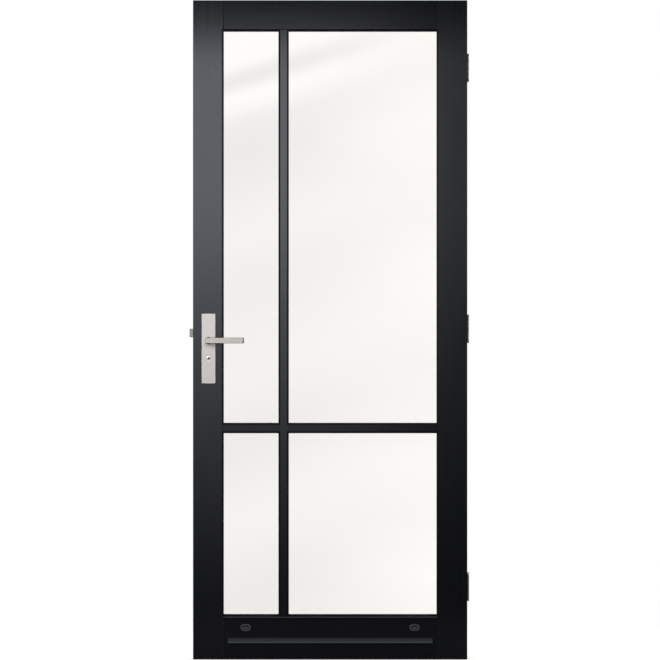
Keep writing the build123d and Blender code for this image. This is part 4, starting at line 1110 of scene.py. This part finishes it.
# %% [markdown]
# ## Levels of light up the wall
#
# A wall's glow has a level for each height and a level for each place across. The paint shows that
# product as one soft sheen, brightest at the upper left and fading to the lower right.
#
# The glass is far smoother than the paint, so it would show every detail of the wall. It gets a pattern
# of its own: a few leaning soft streaks, as from slats high on the wall. Both patterns are written as
# stops, the light at a few heights, and a Color Ramp fills in what lies between.

# %% Stops for the sheen and the streaks
wall_base = -0.3
wall_top = 3.3
ramp_span = 3.0

sheen_stops = (
    (-0.16, 0.0),
    (0.03, 0.02),
    (0.22, 0.06),
    (0.41, 0.12),
    (0.79, 0.27),
    (1.17, 0.56),
    (1.40, 0.84),
    (1.60, 0.97),
    (1.98, 0.98),
    (2.06, 1.2),
    (2.14, 1.2),
    (2.16, 0.6),
    (2.18, 0.0),
)
streak_stops = (
    (0.15, 0.0),
    (0.45, 0.45),
    (0.75, 0.05),
    (1.00, 0.40),
    (1.35, 0.20),
    (1.52, 0.45),
    (1.84, 0.0),
    (1.92, 0.10),
    (2.05, 1.0),
    (2.12, 0.0),
    (2.20, 1.0),
)


def level_ramp(tree, value, stops, ease="LINEAR"):
    """A level that follows the stops, pairs of a height in metres and the light there."""
    limits = {"From Min": wall_base, "From Max": wall_base + ramp_span}
    reach = add_node(tree, "ShaderNodeMapRange", {"Value": value, **limits})
    ramp = add_node(tree, "ShaderNodeValToRGB", {"Fac": reach.outputs[0]})
    ramp.color_ramp.interpolation = ease
    set_stops(ramp, [((height - wall_base) / ramp_span, (light,) * 3 + (1,)) for height, light in stops])
    return ramp.outputs[0]


print(len(sheen_stops), "stops for the sheen,", len(streak_stops), "for the streaks")

# %% [markdown]
# ## The sheen that paint shows
#
# Across the wall the light falls off smoothly from one side to the other. The two side walls are also
# dim in the middle of their width, where the bevels that face them square on would catch too much.

# %% Sheen
slope_reach = (-0.08, 0.5)
hollow_reach = (0.5, 0.9)


def wall_sheen(tree, across, height, sides, hollow):
    """The level of the sheen. sides are the levels at the wall's two ends, hollow dims its middle."""
    sheen = level_ramp(tree, height, sheen_stops)
    limits = {"From Min": slope_reach[0], "From Max": slope_reach[1], "To Min": sides[0], "To Max": sides[1]}
    slope = add_node(
        tree, "ShaderNodeMapRange", {"Value": across, **limits}, interpolation_type="SMOOTHSTEP"
    )
    soft = add_node(tree, "ShaderNodeMath", {0: sheen, 1: slope.outputs[0]}, operation="MULTIPLY")
    span = add_node(tree, "ShaderNodeMath", {0: across}, operation="ABSOLUTE").outputs[0]
    limits = {"From Min": hollow_reach[0], "From Max": hollow_reach[1], "To Min": 1.0 - hollow, "To Max": 1.0}
    ends = add_node(tree, "ShaderNodeMapRange", {"Value": span, **limits}, interpolation_type="SMOOTHSTEP")
    return add_node(
        tree, "ShaderNodeMath", {0: soft.outputs[0], 1: ends.outputs[0]}, operation="MULTIPLY"
    ).outputs[0]


# %% [markdown]
# ## The streaks that glass shows
#
# The streaks rise to the right by a third of their run. A soft noise bends them a little, so that they
# don't look ruled, and towards the right they melt into an even, cloudy glow.

# %% Streaks
streak_lean = -0.334
streak_bend = 0.08
melt_reach = (-0.3, 0.5)
haze_turn = math.radians(-18)


def wall_streaks(tree, place, across, height):
    """The pattern that only a perfectly smooth surface mirrors."""
    lean = add_node(
        tree, "ShaderNodeMath", {0: across, 1: streak_lean, 2: height}, operation="MULTIPLY_ADD"
    ).outputs[0]
    clouds = add_node(tree, "ShaderNodeTexNoise", {"Vector": place, "Scale": 1.6, "Detail": 2.0}).outputs[0]
    bent = add_node(
        tree, "ShaderNodeMath", {0: clouds, 1: streak_bend, 2: lean}, operation="MULTIPLY_ADD"
    ).outputs[0]
    centred = add_node(tree, "ShaderNodeMath", {0: bent, 1: streak_bend / 2}, operation="SUBTRACT")
    streaks = level_ramp(tree, centred.outputs[0], streak_stops, "EASE")
    limits = {"From Min": melt_reach[0], "From Max": melt_reach[1]}
    melt = add_node(tree, "ShaderNodeMapRange", {"Value": across, **limits}, interpolation_type="SMOOTHSTEP")
    slanted = add_node(
        tree,
        "ShaderNodeMapping",
        {"Vector": place, "Rotation": (0, haze_turn, 0), "Scale": (0.6, 1.0, 3.0)},
    )
    haze = add_node(tree, "ShaderNodeTexNoise", {"Vector": slanted.outputs[0], "Scale": 1.1, "Detail": 2.0})
    limits = {"From Min": 0.3, "From Max": 0.7, "To Min": 0.6, "To Max": 1.1}
    even = add_node(tree, "ShaderNodeMapRange", {"Value": haze.outputs[0], **limits})
    return add_node(
        tree,
        "ShaderNodeMix",
        {"Factor": melt.outputs[0], "A": streaks, "B": even.outputs[0]},
        data_type="RGBA",
    ).outputs["Result"]


# %% [markdown]
# ## Four glowing walls
#
# The Light Path node has an output that is 1 for exactly one kind of ray, one mirrored by a perfectly
# smooth surface. That is the glass, so this output chooses between the sheen and the streaks. The front
# and the rear wall are twins, and the two side walls are weaker.

# %% Glowing walls
wall_width = 5.2
wall_distance = 2.6


def glowing_wall(name, location, turn, peak, streak, along="X", sides=(1.0, 1.0), toward=1.0, hollow=0.0):
    """A tall wall of light. along is its level axis, toward turns its pattern round."""
    height = wall_top - wall_base
    tree = gloss_sheet(
        name,
        (wall_width, height),
        (*location, wall_base + height / 2),
        (math.radians(90), 0, math.radians(turn)),
    )
    place = add_node(tree, "ShaderNodeTexCoord").outputs["Object"]
    axes = add_node(tree, "ShaderNodeSeparateXYZ", {0: place}).outputs
    across = add_node(tree, "ShaderNodeMath", {0: axes[along], 1: toward}, operation="MULTIPLY").outputs[0]
    sheen = wall_sheen(tree, across, axes["Z"], sides, hollow)
    power = add_node(tree, "ShaderNodeMath", {0: sheen, 1: peak}, operation="MULTIPLY")
    streaks = wall_streaks(tree, place, across, axes["Z"])
    bright = add_node(tree, "ShaderNodeVectorMath", {0: streaks, "Scale": streak}, operation="SCALE")
    rays, seen = straight_look(tree)
    level = add_node(
        tree,
        "ShaderNodeMix",
        {"Factor": rays.outputs["Is Singular Ray"], "A": power.outputs[0], "B": bright.outputs[0]},
        data_type="RGBA",
    )
    end_in_glow(tree, seen, level.outputs["Result"], 1.0)
    print(name, height, "m tall")


front = {"turn": 0, "peak": 2.75, "streak": 1.0, "sides": (1.0, 0.17)}
rear = {"turn": 180, "peak": 2.75, "streak": 0.25, "sides": (1.0, 0.17), "toward": -1.0}
glowing_wall("front_wall", (0, -wall_distance), **front)
glowing_wall("rear_wall", (0, wall_distance), **rear)
glowing_wall("left_wall", (-wall_distance, 0), turn=-90, peak=1.6, streak=0.25, along="Y", hollow=0.7)
glowing_wall("right_wall", (wall_distance, 0), turn=90, peak=1.6, streak=0.25, along="Y", hollow=0.6)

# %% [markdown]
# ## The ceiling
#
# A last glowing sheet overhead gives the top bevels a thin pale line. Its glow is even.

# %% Ceiling
ceiling_size = 4.0
ceiling_height = 4.0
ceiling_glow = 0.2

tree = gloss_sheet(
    "ceiling", (ceiling_size, ceiling_size), (0, 0, ceiling_height), (math.radians(180), 0, 0)
)
rays, seen = straight_look(tree)
end_in_glow(tree, seen, (1, 1, 1, 1), ceiling_glow)
print("ceiling at", ceiling_height, "m")

# %% [markdown]
# ## The soft lamps
#
# Five large soft lamps light the matt surfaces and draw the shadow on the floor. They are hidden from
# mirrored looks, where their hard edges would show in the glass as bright oblongs. The strongest stands
# at the front left, so the handle's plate is lit from there.

# %% Soft lamps round the door
door_middle = Vector((0, 0, 1.05))


def soft_lamp(name, size, power, location):
    """A rectangular soft lamp that points at the middle of the door."""
    lamp = bpy.data.lights.new(name, "AREA")
    lamp.shape = "RECTANGLE"
    lamp.size, lamp.size_y = size
    lamp.energy = power
    rig = bpy.data.objects.new(name, lamp)
    rig.location = location
    rig.rotation_euler = (door_middle - Vector(location)).to_track_quat("-Z", "Y").to_euler()
    rig.visible_glossy = False
    rig.visible_transmission = False
    bpy.context.scene.collection.objects.link(rig)
    print(name, power, "W")


soft_lamp("lamp_front_left", size=(1.2, 2.4), power=75, location=(-3.0, -3.2, 2.0))
soft_lamp("lamp_front_right", size=(1.0, 2.4), power=25, location=(3.0, -3.2, 1.8))
soft_lamp("lamp_rear_left", size=(1.2, 2.4), power=55, location=(3.0, 3.2, 2.0))
soft_lamp("lamp_rear_right", size=(1.0, 2.4), power=25, location=(-3.0, 3.2, 1.8))
soft_lamp("lamp_above", size=(2.5, 2.5), power=60, location=(-0.4, 0.0, 4.2))

bpy.context.scene.view_settings.view_transform = "Standard"
